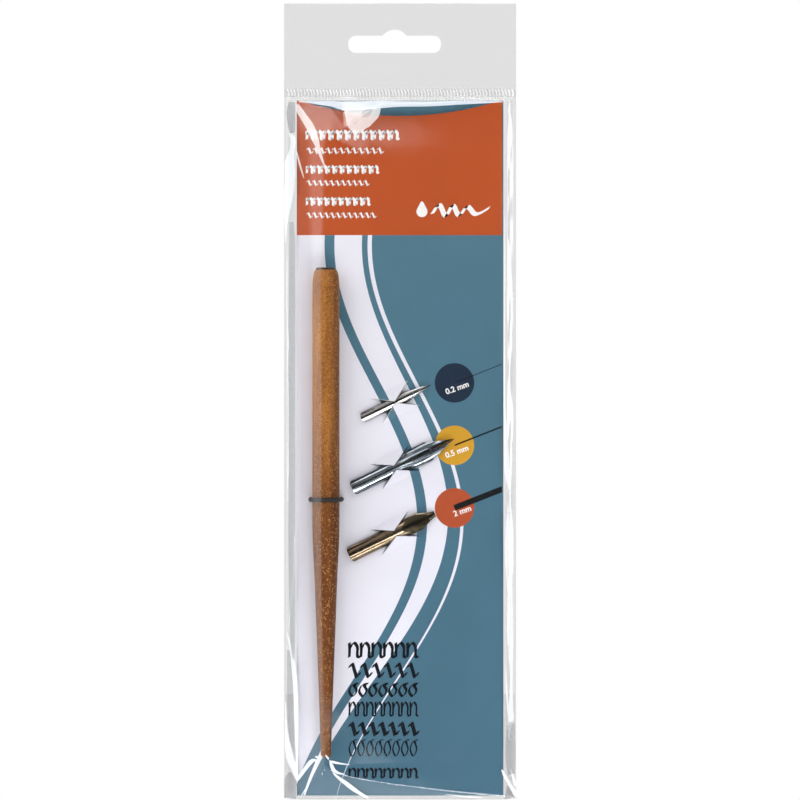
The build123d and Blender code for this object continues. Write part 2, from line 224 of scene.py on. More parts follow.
class Graph:
    """The shader nodes of one material or world, with short ways to add more."""

    def __init__(self, owner: bpy.types.ID, output: str = "OutputMaterial") -> None:
        """Empty the owner's node tree and give it an output.

        Args:
            owner: material or world that owns the tree.
            output: type of its output node.
        """
        owner.use_nodes = True
        self.owner = owner
        self.tree = owner.node_tree
        self.tree.nodes.clear()
        self.output = self.add(output)

    def add(self, kind: str, settings: Optional[dict] = None, **inputs: object) -> bpy.types.Node:
        """Add a node, set its properties and feed its sockets.

        Args:
            kind: Node type without its ShaderNode prefix.
            settings: Node properties by name.
            inputs: Socket values or links, by socket name with _ for spaces, or in_0 style.

        Returns:
            The new node.
        """
        node = self.tree.nodes.new("ShaderNode" + kind)
        for key, value in (settings or {}).items():
            setattr(node, key, value)
        for key, value in inputs.items():
            name = int(key[3:]) if key.startswith("in_") else key.replace("_", " ")
            self.feed(node.inputs[name], value)
        return node

    def feed(self, socket: Socket, value: object) -> None:
        """Link an output into a socket, or set the socket's own value.

        Args:
            socket: input to set.
            value: another node's output, or a plain value.
        """
        if isinstance(value, bpy.types.Node):
            value = value.outputs[0]
        if isinstance(value, Socket):
            self.tree.links.new(value, socket)
        else:
            socket.default_value = value

    def math(self, operation: str, a: object, b: object = 0.0, c: object = 0.0) -> Socket:
        """Add one Math node and return its result."""
        return self.add("Math", {"operation": operation}, in_0=a, in_1=b, in_2=c).outputs[0]

    def minus(self, a: object, b: object) -> Socket:
        """One value less another."""
        return self.math("SUBTRACT", a, b)

    def times(self, a: object, b: object) -> Socket:
        """The product of two values."""
        return self.math("MULTIPLY", a, b)

    def place(self) -> tuple[Socket, ...]:
        """Object coordinates in millimetres: the vector, then x, y and z.

        Returns:
            The vector and its three parts.
        """
        coordinates = self.add("TexCoord").outputs["Object"]
        scaled = self.add("VectorMath", {"operation": "SCALE"}, in_0=coordinates, Scale=1 / MM)
        return (scaled.outputs[0], *self.add("SeparateXYZ", in_0=scaled).outputs[:])

    def mapped(self, vector: object, **inputs: Point3) -> Socket:
        """Move, turn or scale a coordinate."""
        return self.add("Mapping", in_0=vector, **inputs).outputs[0]

    def noise(self, vector: object, size: float, detail: float = 3.0, rough: float = 0.5) -> Socket:
        """Cloudy noise whose blobs are about size millimetres."""
        node = self.add("TexNoise", Vector=vector, Scale=1 / size, Detail=detail, Roughness=rough)
        return node.outputs[0]

    def step(self, value: object, low: float, high: float) -> Socket:
        """0 below low, 1 above high, with a smooth edge between.

        Args:
            value: what is tested.
            low: where the edge starts.
            high: where it ends.

        Returns:
            The step's output.
        """
        node = self.add(
            "MapRange", {"interpolation_type": "SMOOTHSTEP", "clamp": True},
            Value=value, From_Min=low, From_Max=high,
        )
        return node.outputs[0]

    def above(self, value: object, at: float, blur: float = 0.06) -> Socket:
        """1 above a place and 0 below it, with an edge that blurs so far each way."""
        return self.step(value, at - blur, at + blur)

    def below(self, value: object, at: float, blur: float = 0.06) -> Socket:
        """1 below a place and 0 above it."""
        return self.minus(1.0, self.above(value, at, blur))

    def blend(self, factor: object, a: object, b: object, mode: str = "MIX") -> Socket:
        """Mix two colours; hex ones are made linear.

        Args:
            factor: share of b.
            a: colour under.
            b: colour over.
            mode: how the two are mixed.

        Returns:
            The mixed colour.
        """
        a, b = (linear(c) if isinstance(c, str) else c for c in (a, b))
        settings = {"data_type": "RGBA", "blend_type": mode}
        return self.add("Mix", settings, in_0=factor, in_6=a, in_7=b).outputs[2]

    def ramp(self, value: object, *stops: tuple[float, object]) -> Socket:
        """Colour ramp through hex colours or grey levels at the given places.

        Args:
            value: where on the ramp to look.
            stops: (place, colour or level) of each stop.

        Returns:
            The ramp's colour.
        """
        node = self.add("ValToRGB", in_0=value)
        elements = node.color_ramp.elements
        while len(elements) < len(stops):
            elements.new(1.0)
        for element, (position, colour) in zip(elements, stops):
            element.position = position
            element.color = linear(colour) if isinstance(colour, str) else (colour,) * 3 + (1.0,)
        return node.outputs[0]

    def bump(self, height: object, distance: float) -> Socket:
        """Bump whose full height is distance millimetres."""
        return self.add("Bump", Height=height, Distance=distance * MM, Strength=1.0).outputs[0]

    def principled(self, **inputs: object) -> Material:
        """Finish with one Principled shader."""
        return self.finish(self.add("BsdfPrincipled", **inputs))

    def finish(self, shader: bpy.types.Node) -> bpy.types.ID:
        """Send a shader to the output and return the material or world."""
        self.feed(self.output.inputs["Surface"], shader)
        return self.owner


# ---- finishes ------------------------------------------------------------------------


@dataclass(frozen=True)
class Finish:
    """What a surface is made of."""

    name: str

    def graph(self) -> Graph:
        """Start the material's nodes."""
        return Graph(bpy.data.materials.new(self.name))


@dataclass(frozen=True)
class ClearFilm(Finish):
    """Stretched polypropylene film: see-through, mirror-like at a slant, hazy where welded; on the
    creases the haze is painted glint and glare.
    """

    tint: str = "#fbfbfb"
    haze: str = "#ffffff"
    haze_share: float = 0.001
    polish: float = 0.07
    ripple_mm: float = 7.0

    def make(self) -> Material:
        """Build the film: clear straight on, with a sharp sheen that grows at a slant.

        Returns:
            The material.
        """
        g = self.graph()
        surface = g.bump(g.noise(g.place()[0], self.ripple_mm, 2.0), 0.02)
        slant = g.add("LayerWeight", Blend=0.5, Normal=surface).outputs["Facing"]
        sheen = g.math("MULTIPLY_ADD", g.math("POWER", slant, 5.0), 0.96, 0.04)
        clear = g.add("BsdfTransparent", Color=linear(self.tint))
        milk = g.add("BsdfDiffuse", Color=linear(self.haze))
        ply = g.add("MixShader", in_0=self.haze_share, in_1=clear, in_2=milk)
        gloss = g.add("BsdfGlossy", Color=(1, 1, 1, 1), Roughness=self.polish, Normal=surface)
        return g.finish(g.add("MixShader", in_0=sheen, in_1=ply, in_2=gloss))


@dataclass(frozen=True)
class PrintedCard(Finish):
    """Coated card, offset printed: satin ink over a white core that shows at every cut edge."""

    name: str = "offset_printed_card"
    orange: str = "#c05526"
    blue_high: str = "#527c8f"
    blue_low: str = "#426a80"
    pale_high: str = "#f1f0fa"
    pale_low: str = "#eaeaf6"
    core: str = "#ece9e6"
    dot_colours: tuple[str, str, str] = ("#1a2c41", "#d6a02d", "#b6512d")    # navy, mustard, rust
    ink: str = "#07090c"
    rule: str = "#8fa3ad"
    band_foot: float = -66.0        # where the orange band ends
    foot: float = -260.0
    dot_x: float = 20.6
    dot_heights: Point3 = (-116.8, -138.3, -159.8)
    dot_radius: float = 6.8
    line_widths: Point3 = (0.25, 0.55, 2.0)
    line_slope: float = 21.5
    rule_pitch: float = 9.0
    wave_turns: float = 0.95
    wave_reach: float = 19.0
    pen_strokes: tuple[Point2, ...] = ((3.4, 9.0), (14.8, 1.4))    # (distance past the edge, width)
    back_foot: float = 16.0         # height of the blue strip at the back panel's foot
    back_band: float = 21.95        # where the back's orange head starts, above band_foot
    fold_x: float = -33.45          # left of this is the fold between the panels

    def wave(self, g: Graph, fall: Socket) -> Socket:
        """Where the pale field's swelling right edge stands, out and back to the left.

        Args:
            g: the card's graph.
            fall: share of the way down the blue body.

        Returns:
            X of the edge, in mm.
        """
        swing = g.math("COSINE", g.times(fall, 2 * math.pi * self.wave_turns))
        lean = g.math("MULTIPLY_ADD", fall, -12.0, -5.0)
        return g.math("MULTIPLY_ADD", swing, -self.wave_reach, lean)

    def between(self, g: Graph, value: Socket, low: float, high: float) -> Socket:
        """1 where value lies between low and high, with crisp printed edges."""
        return g.minus(g.above(value, low), g.above(value, high))

    def front(self, g: Graph, x: Socket, z: Socket) -> Socket:
        """Colour of the printed front: band, ground and a pale sweep, under the dots.

        Args:
            g: the card's graph.
            x: across the card, in mm.
            z: up the card, in mm.

        Returns:
            The front's colour.
        """
        fall = g.math("DIVIDE", g.minus(z, self.band_foot), self.foot - self.band_foot)
        blue = g.blend(fall, self.blue_high, self.blue_low)
        pale = g.blend(fall, self.pale_high, self.pale_low)
        past = g.minus(x, self.wave(g, fall))
        sweep = g.below(past, 0.0)
        # two pen strokes follow the edge and thin out toward the foot
        thinning = g.math("MULTIPLY_ADD", g.math("POWER", fall, 2.0), -1.0, 1.05)
        swell = g.math("MAXIMUM", thinning, 0.05)
        for low, width in self.pen_strokes:
            along = g.math("DIVIDE", g.minus(past, low), swell)
            sweep = g.math("MAXIMUM", sweep, self.between(g, along, 0.0, width))
        colour = g.blend(g.above(z, self.band_foot), g.blend(sweep, blue, pale), self.orange)
        return self.dots(g, colour, x, z)

    def dots(self, g: Graph, colour: Socket, x: Socket, z: Socket) -> Socket:
        """Print the dots over a colour, and the sample line that starts in each.

        Args:
            g: the card's graph.
            colour: what is printed under the dots.
            x: across the card, in mm.
            z: up the card, in mm.

        Returns:
            The colour with dots and lines.
        """
        c, s = facing(self.line_slope)
        for height, dot, width in zip(self.dot_heights, self.dot_colours, self.line_widths):
            right, up = g.minus(x, self.dot_x), g.minus(z, height)
            reach = g.math("SQRT", g.math("ADD", g.times(right, right), g.times(up, up)))
            colour = g.blend(g.below(reach, self.dot_radius), colour, dot)
            along = g.math("ADD", g.times(right, c), g.times(up, s))
            across = g.minus(g.times(up, c), g.times(right, s))
            inside = g.below(g.math("ABSOLUTE", across), width / 2, 0.05)
            colour = g.blend(g.times(inside, g.above(along, 0.0, 0.05)), colour, self.ink)
        return colour

    def back(self, g: Graph, z: Socket) -> Socket:
        """Colour of the printed back: orange head, blue strips, and a pale field of ruled lines.

        Args:
            g: the card's graph.
            z: up the card, in mm.

        Returns:
            The back's colour.
        """
        row = g.math("FRACT", g.math("DIVIDE", z, self.rule_pitch))
        colour = g.blend(g.below(row, 0.04, 0.01), self.pale_high, self.rule)
        colour = g.blend(g.above(z, self.band_foot - 9.95, 0.05), colour, self.blue_high)
        strip = self.between(g, z, self.foot, self.foot + self.back_foot)
        colour = g.blend(strip, colour, self.blue_low)
        return g.blend(g.above(z, self.band_foot + self.back_band, 0.05), colour, self.orange)

    def make(self) -> Material:
        """Build the card: print on the outer faces, bare core on cuts and inner faces.

        Returns:
            The material.
        """
        g = self.graph()
        vector, x, y, z = g.place()
        normal = g.add("SeparateXYZ", in_0=g.add("NewGeometry").outputs["Normal"]).outputs["Y"]
        toward_front = g.above(g.times(normal, -1.0), 0.5, 0.05)
        outer_front = g.times(toward_front, g.above(g.times(y, -1.0), 0.95, 0.05))
        front_mask = g.math("MAXIMUM", outer_front, g.below(x, self.fold_x, 0.05))
        back_mask = g.times(g.above(normal, 0.5, 0.05), g.above(y, -0.25, 0.05))
        # the head of the back panel is blue where the front panel's hollow shows it
        behind_hollow = g.times(toward_front, g.above(y, -0.65, 0.05))
        colour = g.blend(behind_hollow, self.core, self.blue_high)
        colour = g.blend(front_mask, colour, self.front(g, x, z))
        colour = g.blend(back_mask, colour, self.back(g, z))
        shade = g.ramp(g.noise(vector, 24.0), (0.35, "#fafafa"), (0.65, "#ffffff"))
        colour = g.blend(1.0, colour, shade, "MULTIPLY")
        surface = g.bump(g.noise(vector, 0.5, 4.0), 0.0015)
        return g.principled(
            Base_Color=colour, Roughness=0.45, IOR=1.5, Normal=surface, Specular_IOR_Level=0.2,
        )


@dataclass(frozen=True)
class PrintInk(Finish):
    """Solid printing ink: a flat satin layer a few microns thick, worn thin in tiny spots."""

    colour: str
    worn: str

    def make(self) -> Material:
        """Build the ink with faint unevenness in its cover.

        Returns:
            The material.
        """
        g = self.graph()
        colour = g.ramp(g.noise(g.place()[0], 0.6), (0.3, self.worn), (0.45, self.colour))
        return g.principled(Base_Color=colour, Roughness=0.45, IOR=1.5, Specular_IOR_Level=0.12)


@dataclass(frozen=True)
class LacqueredWood(Finish):
    """Turned hardwood, stained and lacquered: flecked grain along the length under a clear coat."""

    name: str = "lacquered_turned_wood"
    light: str = "#bd7f3a"
    middle: str = "#a66a2d"
    dark: str = "#8e5827"
    fleck_light: str = "#cd9552"
    fleck_dark: str = "#4f2a12"
    painted_low_shade: str = "#b3a18e"      # painted shade: multiplies the stain, more toward the foot
    painted_side_shade: str = "#c6bdc4"     # painted shade: multiplies it on the holder's right side
    side_run: Point2 = (0.3, 3.4)   # over which that painted side shade sets in, right of the axis
    painted_shade_top: float = -120.0       # heights between which the painted shade grows darker
    painted_shade_foot: float = -175.0
    fleck_width: float = 0.5        # room for one fleck
    fleck_length: float = 0.62
    dark_chance: float = 0.66
    light_chance: float = 0.3
    band_width: float = 3.4
    band_length: float = 30.0

    def make(self) -> Material:
        """Build the wood: faint long bands, fine dark and golden flecks, painted shade toward the
        foot and on the right side, under a clear coat.

        Returns:
            The material.
        """
        g = self.graph()
        vector, x, _, z = g.place()
        axis_x, axis_y = HOLDER_AXIS
        centred = g.mapped(vector, Location=(-axis_x, -axis_y, 0.0))
        long_way = g.mapped(centred, Scale=self.per_room(self.band_width, self.band_length))
        bands = g.noise(long_way, 1.0, 4.0)
        colour = g.ramp(bands, (0.3, self.dark), (0.5, self.middle), (0.7, self.light))
        # painted shade: the wood darkens toward the foot
        toward_foot = g.minus(1.0, g.step(z, self.painted_shade_foot, self.painted_shade_top))
        # painted shade: darker on the right of the holder's axis
        side = g.step(x, axis_x + self.side_run[0], axis_x + self.side_run[1])
        for share, shade in ((toward_foot, self.painted_low_shade), (side, self.painted_side_shade)):
            colour = g.blend(share, colour, g.blend(1.0, colour, shade, "MULTIPLY"))
        rooms = g.mapped(centred, Scale=self.per_room(self.fleck_width, self.fleck_length))
        cell = g.add("TexVoronoi", {"feature": "F1"}, Vector=rooms, Scale=1.0)
        fleck = g.minus(1.0, g.step(cell.outputs["Distance"], 0.28, 0.6))
        chance = g.add("SeparateColor", in_0=cell.outputs["Color"])
        share = g.math("MULTIPLY_ADD", toward_foot, 0.05, 0.55)
        for limit, fleck_colour, output in (
            (self.dark_chance, self.fleck_dark, "Red"),
            (self.light_chance, self.fleck_light, "Green"),
        ):
            picked = g.below(chance.outputs[output], limit, 0.1)
            colour = g.blend(g.times(g.times(fleck, picked), share), colour, fleck_colour)
        return g.principled(
            Base_Color=colour, Roughness=0.5, IOR=1.45, Normal=g.bump(fleck, 0.02),
            Specular_IOR_Level=0.15, Coat_Weight=0.18, Coat_Roughness=0.2, Coat_IOR=1.5,
        )

    def per_room(self, width: float, length: float) -> Point3:
        """Scales that give a pattern one repeat in so wide and so long a room."""
        return (1 / width, 1 / width, 1 / length)


@dataclass(frozen=True)
class PressedSteel(Finish):
    """Rolled, blanked and tempered steel sheet: a bright metal with fine rolling marks."""

    colour: str
    tarnish: str
    roughness: float = 0.2
    tarnish_share: float = 0.5
    tilt: float = 26.0              # the sheet's length, turned up from the X axis
    mark_mm: float = 0.18
    reflection_band_share: float = 0.0       # painted reflection: how far the dark bands along the sheet go
    reflection_band_mm: float = 1.0
    reflection_band_length: float = 24.0

    def make(self) -> Material:
        """Build the steel: temper colour in soft clouds, painted reflection as dark bands along the
        sheet, and marks along the sheet.

        Returns:
            The material.
        """
        g = self.graph()
        turned = g.mapped(g.place()[0], Rotation=(0.0, math.radians(self.tilt), 0.0))
        cover = g.times(g.step(g.noise(turned, 3.5), 0.38, 0.68), self.tarnish_share)
        colour = g.blend(cover, self.colour, self.tarnish)
        # painted reflection: dark bands along the sheet stand in for reflected stripes
        drawn = self.drawn_out(g, turned, self.reflection_band_length, self.reflection_band_mm)
        reflection_band_noise = g.noise(drawn, 1.0, 1.0, 0.4)
        reflection_bands = g.times(g.step(reflection_band_noise, 0.44, 0.56), self.reflection_band_share)
        colour = g.blend(reflection_bands, colour, self.tarnish)
        marks = g.noise(self.drawn_out(g, turned, self.mark_mm * 22, self.mark_mm), 1.0, 3.0, 0.6)
        rough = g.math("MULTIPLY_ADD", marks, 0.1, self.roughness - 0.05)
        return g.principled(
            Base_Color=colour, Metallic=1.0, Roughness=rough, Normal=g.bump(marks, 0.004),
        )

    def drawn_out(self, g: Graph, vector: Socket, length: float, width: float) -> Socket:
        """A coordinate in which one unit is so long and so wide a mark."""
        return g.mapped(vector, Scale=(1 / length, 1 / width, 1 / width))


@dataclass(frozen=True)
class BraidedElastic(Finish):
    """Rubber core in a braided polyester cover: matt, near black, with a fine diagonal weave."""

    name: str = "braided_elastic"
    thread: str = "#101113"
    gap: str = "#040405"
    thread_mm: float = 0.28
    winding: float = 5.4            # how far a thread runs along to each radian round the holder

    def make(self) -> Material:
        """Build the braid from two crossing sets of threads wound about the cord.

        Returns:
            The material.
        """
        g = self.graph()
        _, x, y, z = g.place()
        axis_x, axis_y = HOLDER_AXIS
        along = g.times(g.math("ARCTAN2", g.minus(x, axis_x), g.minus(axis_y, y)), self.winding)
        one, other = (
            g.math("SINE", g.times(g.math(operation, along, z), math.pi / self.thread_mm))
            for operation in ("ADD", "SUBTRACT")
        )
        weave = g.math("MULTIPLY_ADD", g.times(one, other), 0.5, 0.5)
        return g.principled(
            Base_Color=g.blend(weave, self.gap, self.thread), Roughness=0.6,
            Normal=g.bump(weave, 0.06), Sheen_Weight=0.05, Sheen_Roughness=0.5,
        )


@dataclass(frozen=True)
class AdhesiveTape(Finish):
    """Double-sided tape left on the flap: a thin, slightly yellow gel with trapped air."""

    name: str = "adhesive_tape"
    gel: str = "#f4f2ea"
    bubble: str = "#ffffff"

    def make(self) -> Material:
        """Build the gel, half clear, with small pale bubbles.

        Returns:
            The material.
        """
        g = self.graph()
        air = g.noise(g.place()[0], 1.6, 2.0)
        colour = g.blend(g.step(air, 0.6, 0.7), self.gel, self.bubble)
        gel = g.add("BsdfPrincipled", Base_Color=colour, Roughness=0.35, Normal=g.bump(air, 0.02))
        clear = g.add("BsdfTransparent", Color=linear(self.gel))
        return g.finish(g.add("MixShader", in_0=0.35, in_1=clear, in_2=gel))


@dataclass(frozen=True)
class StudioFloor(Finish):
    """Painted board under the object: plain and pale, with a faint roller texture."""

    name: str = "pale_board"
    paint: str = "#eeeeec"

    def make(self) -> Material:
        """Build the paint with very shallow orange peel.

        Returns:
            The material.
        """
        g = self.graph()
        peel = g.bump(g.noise(g.place()[0], 3.0, 2.0), 0.05)
        return g.principled(Base_Color=linear(self.paint), Roughness=0.7, Normal=peel)


# ---- making pieces -------------------------------------------------------------------


def soften(mesh: Mesh, crease_angle: float) -> None:
    """Shade smooth, but keep edges sharper than the angle crisp.

    Args:
        mesh: The mesh to mark.
        crease_angle: Degrees between faces past which an edge stays sharp.
    """
    limit = math.radians(crease_angle)
    for face in mesh.faces:
        face.smooth = True
    for edge in mesh.edges:
        edge.smooth = len(edge.link_faces) == 2 and edge.calc_face_angle(0.0) < limit


def link_new(name: str, data: bpy.types.ID) -> bpy.types.Object:
    """Put new data into the scene as an object at the origin.

    Args:
        name: the object's name.
        data: mesh, light or camera data.

    Returns:
        The object.
    """
    made = bpy.data.objects.new(name, data)
    bpy.context.scene.collection.objects.link(made)
    return made


def to_data(mesh: Mesh, name: str, material: Material) -> bpy.types.Mesh:
    """Turn a bmesh in millimetres into mesh data in metres, and free it.

    Args:
        mesh: finished bmesh.
        name: name for the data.
        material: finish of every face.

    Returns:
        The mesh data.
    """
    bmesh.ops.scale(mesh, vec=(MM, MM, MM), verts=mesh.verts)
    data = bpy.data.meshes.new(name)
    mesh.to_mesh(data)
    mesh.free()
    data.materials.append(material)
    return data


def make_piece(
    mesh: Mesh, name: str, body: Body, material: Material, slot: str, crease_angle: float = 80.0
) -> bpy.types.Object:
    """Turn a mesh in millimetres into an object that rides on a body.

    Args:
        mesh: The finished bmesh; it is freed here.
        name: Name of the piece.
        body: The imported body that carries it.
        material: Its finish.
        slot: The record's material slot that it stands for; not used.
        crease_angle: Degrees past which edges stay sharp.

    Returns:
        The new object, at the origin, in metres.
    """
    soften(mesh, crease_angle)
    piece = link_new(name, to_data(mesh, name, material))
    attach(piece, body.value)
    log.info("%s: %d faces on %s", name, len(piece.data.polygons), body.value)
    return piece


def bend_grid(mesh: Mesh, across: int, along: int, place: Callable[[float, float], Point3]) -> None:
    """Add a grid and bend it into place.

    Args:
        mesh: The mesh that takes it.
        across: Faces across the sheet.
        along: Faces along the sheet.
        place: Turns shares from -0.5 to 0.5, across and along, into a point.
    """
    made = bmesh.ops.create_grid(mesh, x_segments=across, y_segments=along, size=0.5)
    for vert in made["verts"]:
        vert.co = place(vert.co.x, vert.co.y)


def sheet_grid(
    columns: Sequence[float], rows: Sequence[float], place: Callable[[float, float], Point3]
) -> Mesh:
    """A grid bent into place.

    Args:
        columns: Values across the sheet, one per line of points.
        rows: Values along the sheet, one per line of points.
        place: Turns (across, along) into a point in millimetres.

    Returns:
        The bent grid.
    """
    mesh = bmesh.new()
    across, along = len(columns) - 1, len(rows) - 1
    bend_grid(mesh, across, along, lambda u, v: place(
        columns[round((u + 0.5) * across)], rows[round((v + 0.5) * along)]
    ))
    return mesh


def face_toward(mesh: Mesh, side: float = -1.0, judges: Optional[list] = None) -> None:
    """Make the normals agree, then turn them to the front (or to the back, with side +1).

    Args:
        mesh: An open sheet.
        side: Which way along Y it faces.
        judges: The faces that must point that way; all of them when none are given.
    """
    bmesh.ops.recalc_face_normals(mesh, faces=mesh.faces)
    if sum(face.normal.y for face in judges or mesh.faces) * side < 0:
        bmesh.ops.reverse_faces(mesh, faces=mesh.faces)


def face_each_front(mesh: Mesh) -> None:
    """Turn every face of a set of loose, flat shapes to the front.

    Args:
        mesh: bmesh to turn.
    """
    bmesh.ops.recalc_face_normals(mesh, faces=mesh.faces)
    for face in mesh.faces:
        if face.normal.y > 0:
            face.normal_flip()


def thicken(mesh: Mesh, thickness: float) -> None:
    """Give an open sheet a wall; a negative thickness grows along the normals."""
    bmesh.ops.solidify(mesh, geom=mesh.faces[:], thickness=thickness)


def dress(node: str, material: Material) -> None:
    """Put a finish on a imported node's own mesh.

    Args:
        node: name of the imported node.
        material: its finish.
    """
    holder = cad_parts[node]
    target = holder if isinstance(holder, bpy.types.Object) else bpy.data.objects[node]
    target.data.materials.clear()
    target.data.materials.append(material)
    log.info("%s: dressed with %s", node, material.name)


# ---- the bag -------------------------------------------------------------------------


@dataclass(frozen=True)
class Tent:
    """The front film's stand-off from the bag's middle plane, set by the card and holder.

    A row is (z, left corner x and out, ridge x and out, right corner x and out, ridge radius).
    """

    foot_left: float = -37.2
    foot_right: float = 41.0
    foot_out: float = 0.15
    shoulder_radius: float = 1.5
    rows: tuple[tuple[float, ...], ...] = (
        (-260, -34.2, 3, -23.5, 3.05, 38, 3, 3),
        (-247.2, -34.5, 3.5, -24.196, 10.23, 38.2, 4.2, 2.75),
        (-166.2, -34.5, 4.2, -26.104, 14.186, 38.2, 5.2, 6.36),
        (-80, -34.5, 4.2, -26.104, 14.186, 38.2, 5.2, 6.36),
        (-58, -34.5, 4.2, -26.104, 13.6, 38.2, 5.2, 10.5),
        (-36, -34.5, 4.2, -26.104, 13.3, 38.2, 5.2, 12),
        (-18.1, -34.5, 4.2, -26.104, 12.2, 38.2, 5.2, 17),
    )
    seam: float = -18.1
    seam_out: float = 0.2
    # the film turns down to its foot below two folds that fan out from the holder's tip
    tip_x: float = -24.0
    tip_z: float = -247.2
    foot_z: float = -260.0
    foot_swell: float = 0.4     # how much that turn eases in and out
    fan_drop: float = 12.0
    brow_end: float = -60.0
    brow_swell: float = 0.85
    # the crease where the steep part below the seam ends, how far the tent has risen
    # there, and how long it takes to rise the rest, each as (x, value)
    brow: tuple[Point2, ...] = (
        (-38, -19.6), (-33, -19.8), (-27, -22.2), (-22, -23.4), (-19.4, -26.5), (-17.4, -29.6),
        (-15, -28.6), (-11, -25.4), (-5.5, -21.8), (4, -21.3), (16, -20.6), (28, -19.8),
        (41, -19.5),
    )
    brow_share: tuple[Point2, ...] = (
        (-38, 0.8), (-33, 0.78), (-27, 0.7), (-22, 0.72), (-17.4, 0.9), (-12, 0.86), (-5.5, 0.82),
        (10, 0.8), (28, 0.82), (41, 0.85),
    )
    brow_run: tuple[Point2, ...] = (
        (-38, 14), (-28, 13), (-17.4, 6), (-8, 20), (41, 24),
    )

    def corners(self, z: float) -> tuple[list[Point2], list[float]]:
        """The tent's corner points and their rounding at one height.

        Args:
            z: height on the bag.

        Returns:
            Five (x, out) points, and a radius for each.
        """
        lx, lo, mx, mo, rx, ro, radius = along_rows(self.rows, z)
        points = [(self.foot_left, self.foot_out), (lx, lo), (mx, mo), (rx, ro)]
        points.append((self.foot_right, self.foot_out))
        return points, [0.0, self.shoulder_radius, radius, self.shoulder_radius, 0.0]

    def mouth(self, x: float, z: float) -> float:
        """How much of the full tent has risen at a point near the seam, from 0 to 1.

        Args:
            x: across the bag.
            z: height on the bag.

        Returns:
            The risen share.
        """
        brow = smooth_rows(self.brow, x)
        share = smooth_rows(self.brow_share, x)
        if z > brow:
            return share * ((self.seam - z) / (self.seam - brow)) ** self.brow_swell
        return mix(share, 1.0, ease((brow - z) / smooth_rows(self.brow_run, x)))

    def tip_fold(self, x: float) -> float:
        """Height of the folds that fan out from the holder's tip to the bag's sides.

        Args:
            x: across the bag.

        Returns:
            The fold's height at x.
        """
        far = self.foot_right if x > self.tip_x else self.foot_left
        side = (x - self.tip_x) / (far - self.tip_x)
        return self.tip_z - self.fan_drop * min(1.0, side) ** 0.5

    def out(self, x: float, z: float) -> float:
        """Height of the rounded tent at a point, with its steep brow under the seam.

        Args:
            x: across the bag.
            z: height on the bag.

        Returns:
            Distance in front of the bag's middle plane.
        """
        fold = self.tip_fold(x)
        if z < fold:
            down = (fold - z) / (fold - self.foot_z)
            portion = mix(down, ease(down), self.foot_swell)
            return mix(self.section(x, self.tip_z), self.section(x, self.foot_z), portion)
        full = self.section(x, max(z, self.tip_z))
        if z < self.brow_end:
            return full
        if z >= self.seam:
            return self.foot_out
        return max(self.foot_out, self.seam_out + (full - self.seam_out) * self.mouth(x, z))

    def section(self, x: float, z: float) -> float:
        """Height of the rounded tent's straight section at one level.

        Args:
            x: across the bag.
            z: height of the level.

        Returns:
            Distance in front of the bag's middle plane.
        """
        points, radii = self.corners(z)
        if x <= points[0][0] or x >= points[-1][0]:
            return self.foot_out
        i = next(k for k in range(4) if x <= points[k + 1][0])
        (ax, ay), (bx, by) = points[i], points[i + 1]
        flat = mix(ay, by, (x - ax) / (bx - ax))
        for k in (i, i + 1):
            if radii[k]:
                flat = min(flat, self.rounded(points[k - 1 : k + 2], radii[k], x, flat))
        return flat

    def rounded(self, corner: Sequence[Point2], radius: float, x: float, flat: float) -> float:
        """Height on the arc that rounds the middle of three points, or flat outside the arc.

        Args:
            corner: the three points.
            radius: the rounding's radius.
            x: across the bag.
            flat: height of the section with no rounding.

        Returns:
            The rounded height.
        """
        a, b, c = corner
        slope_in = math.atan2(b[1] - a[1], b[0] - a[0])
        slope_out = math.atan2(c[1] - b[1], c[0] - b[0])
        turn = slope_in - slope_out
        if turn <= 0.001:
            return flat
        reach = radius * math.tan(turn / 2)
        start = (b[0] - reach * math.cos(slope_in), b[1] - reach * math.sin(slope_in))
        if not start[0] < x < b[0] + reach * math.cos(slope_out):
            return flat
        centre = (start[0] + radius * math.sin(slope_in), start[1] - radius * math.cos(slope_in))
        return centre[1] + math.sqrt(max(0.0, radius**2 - (x - centre[0]) ** 2))


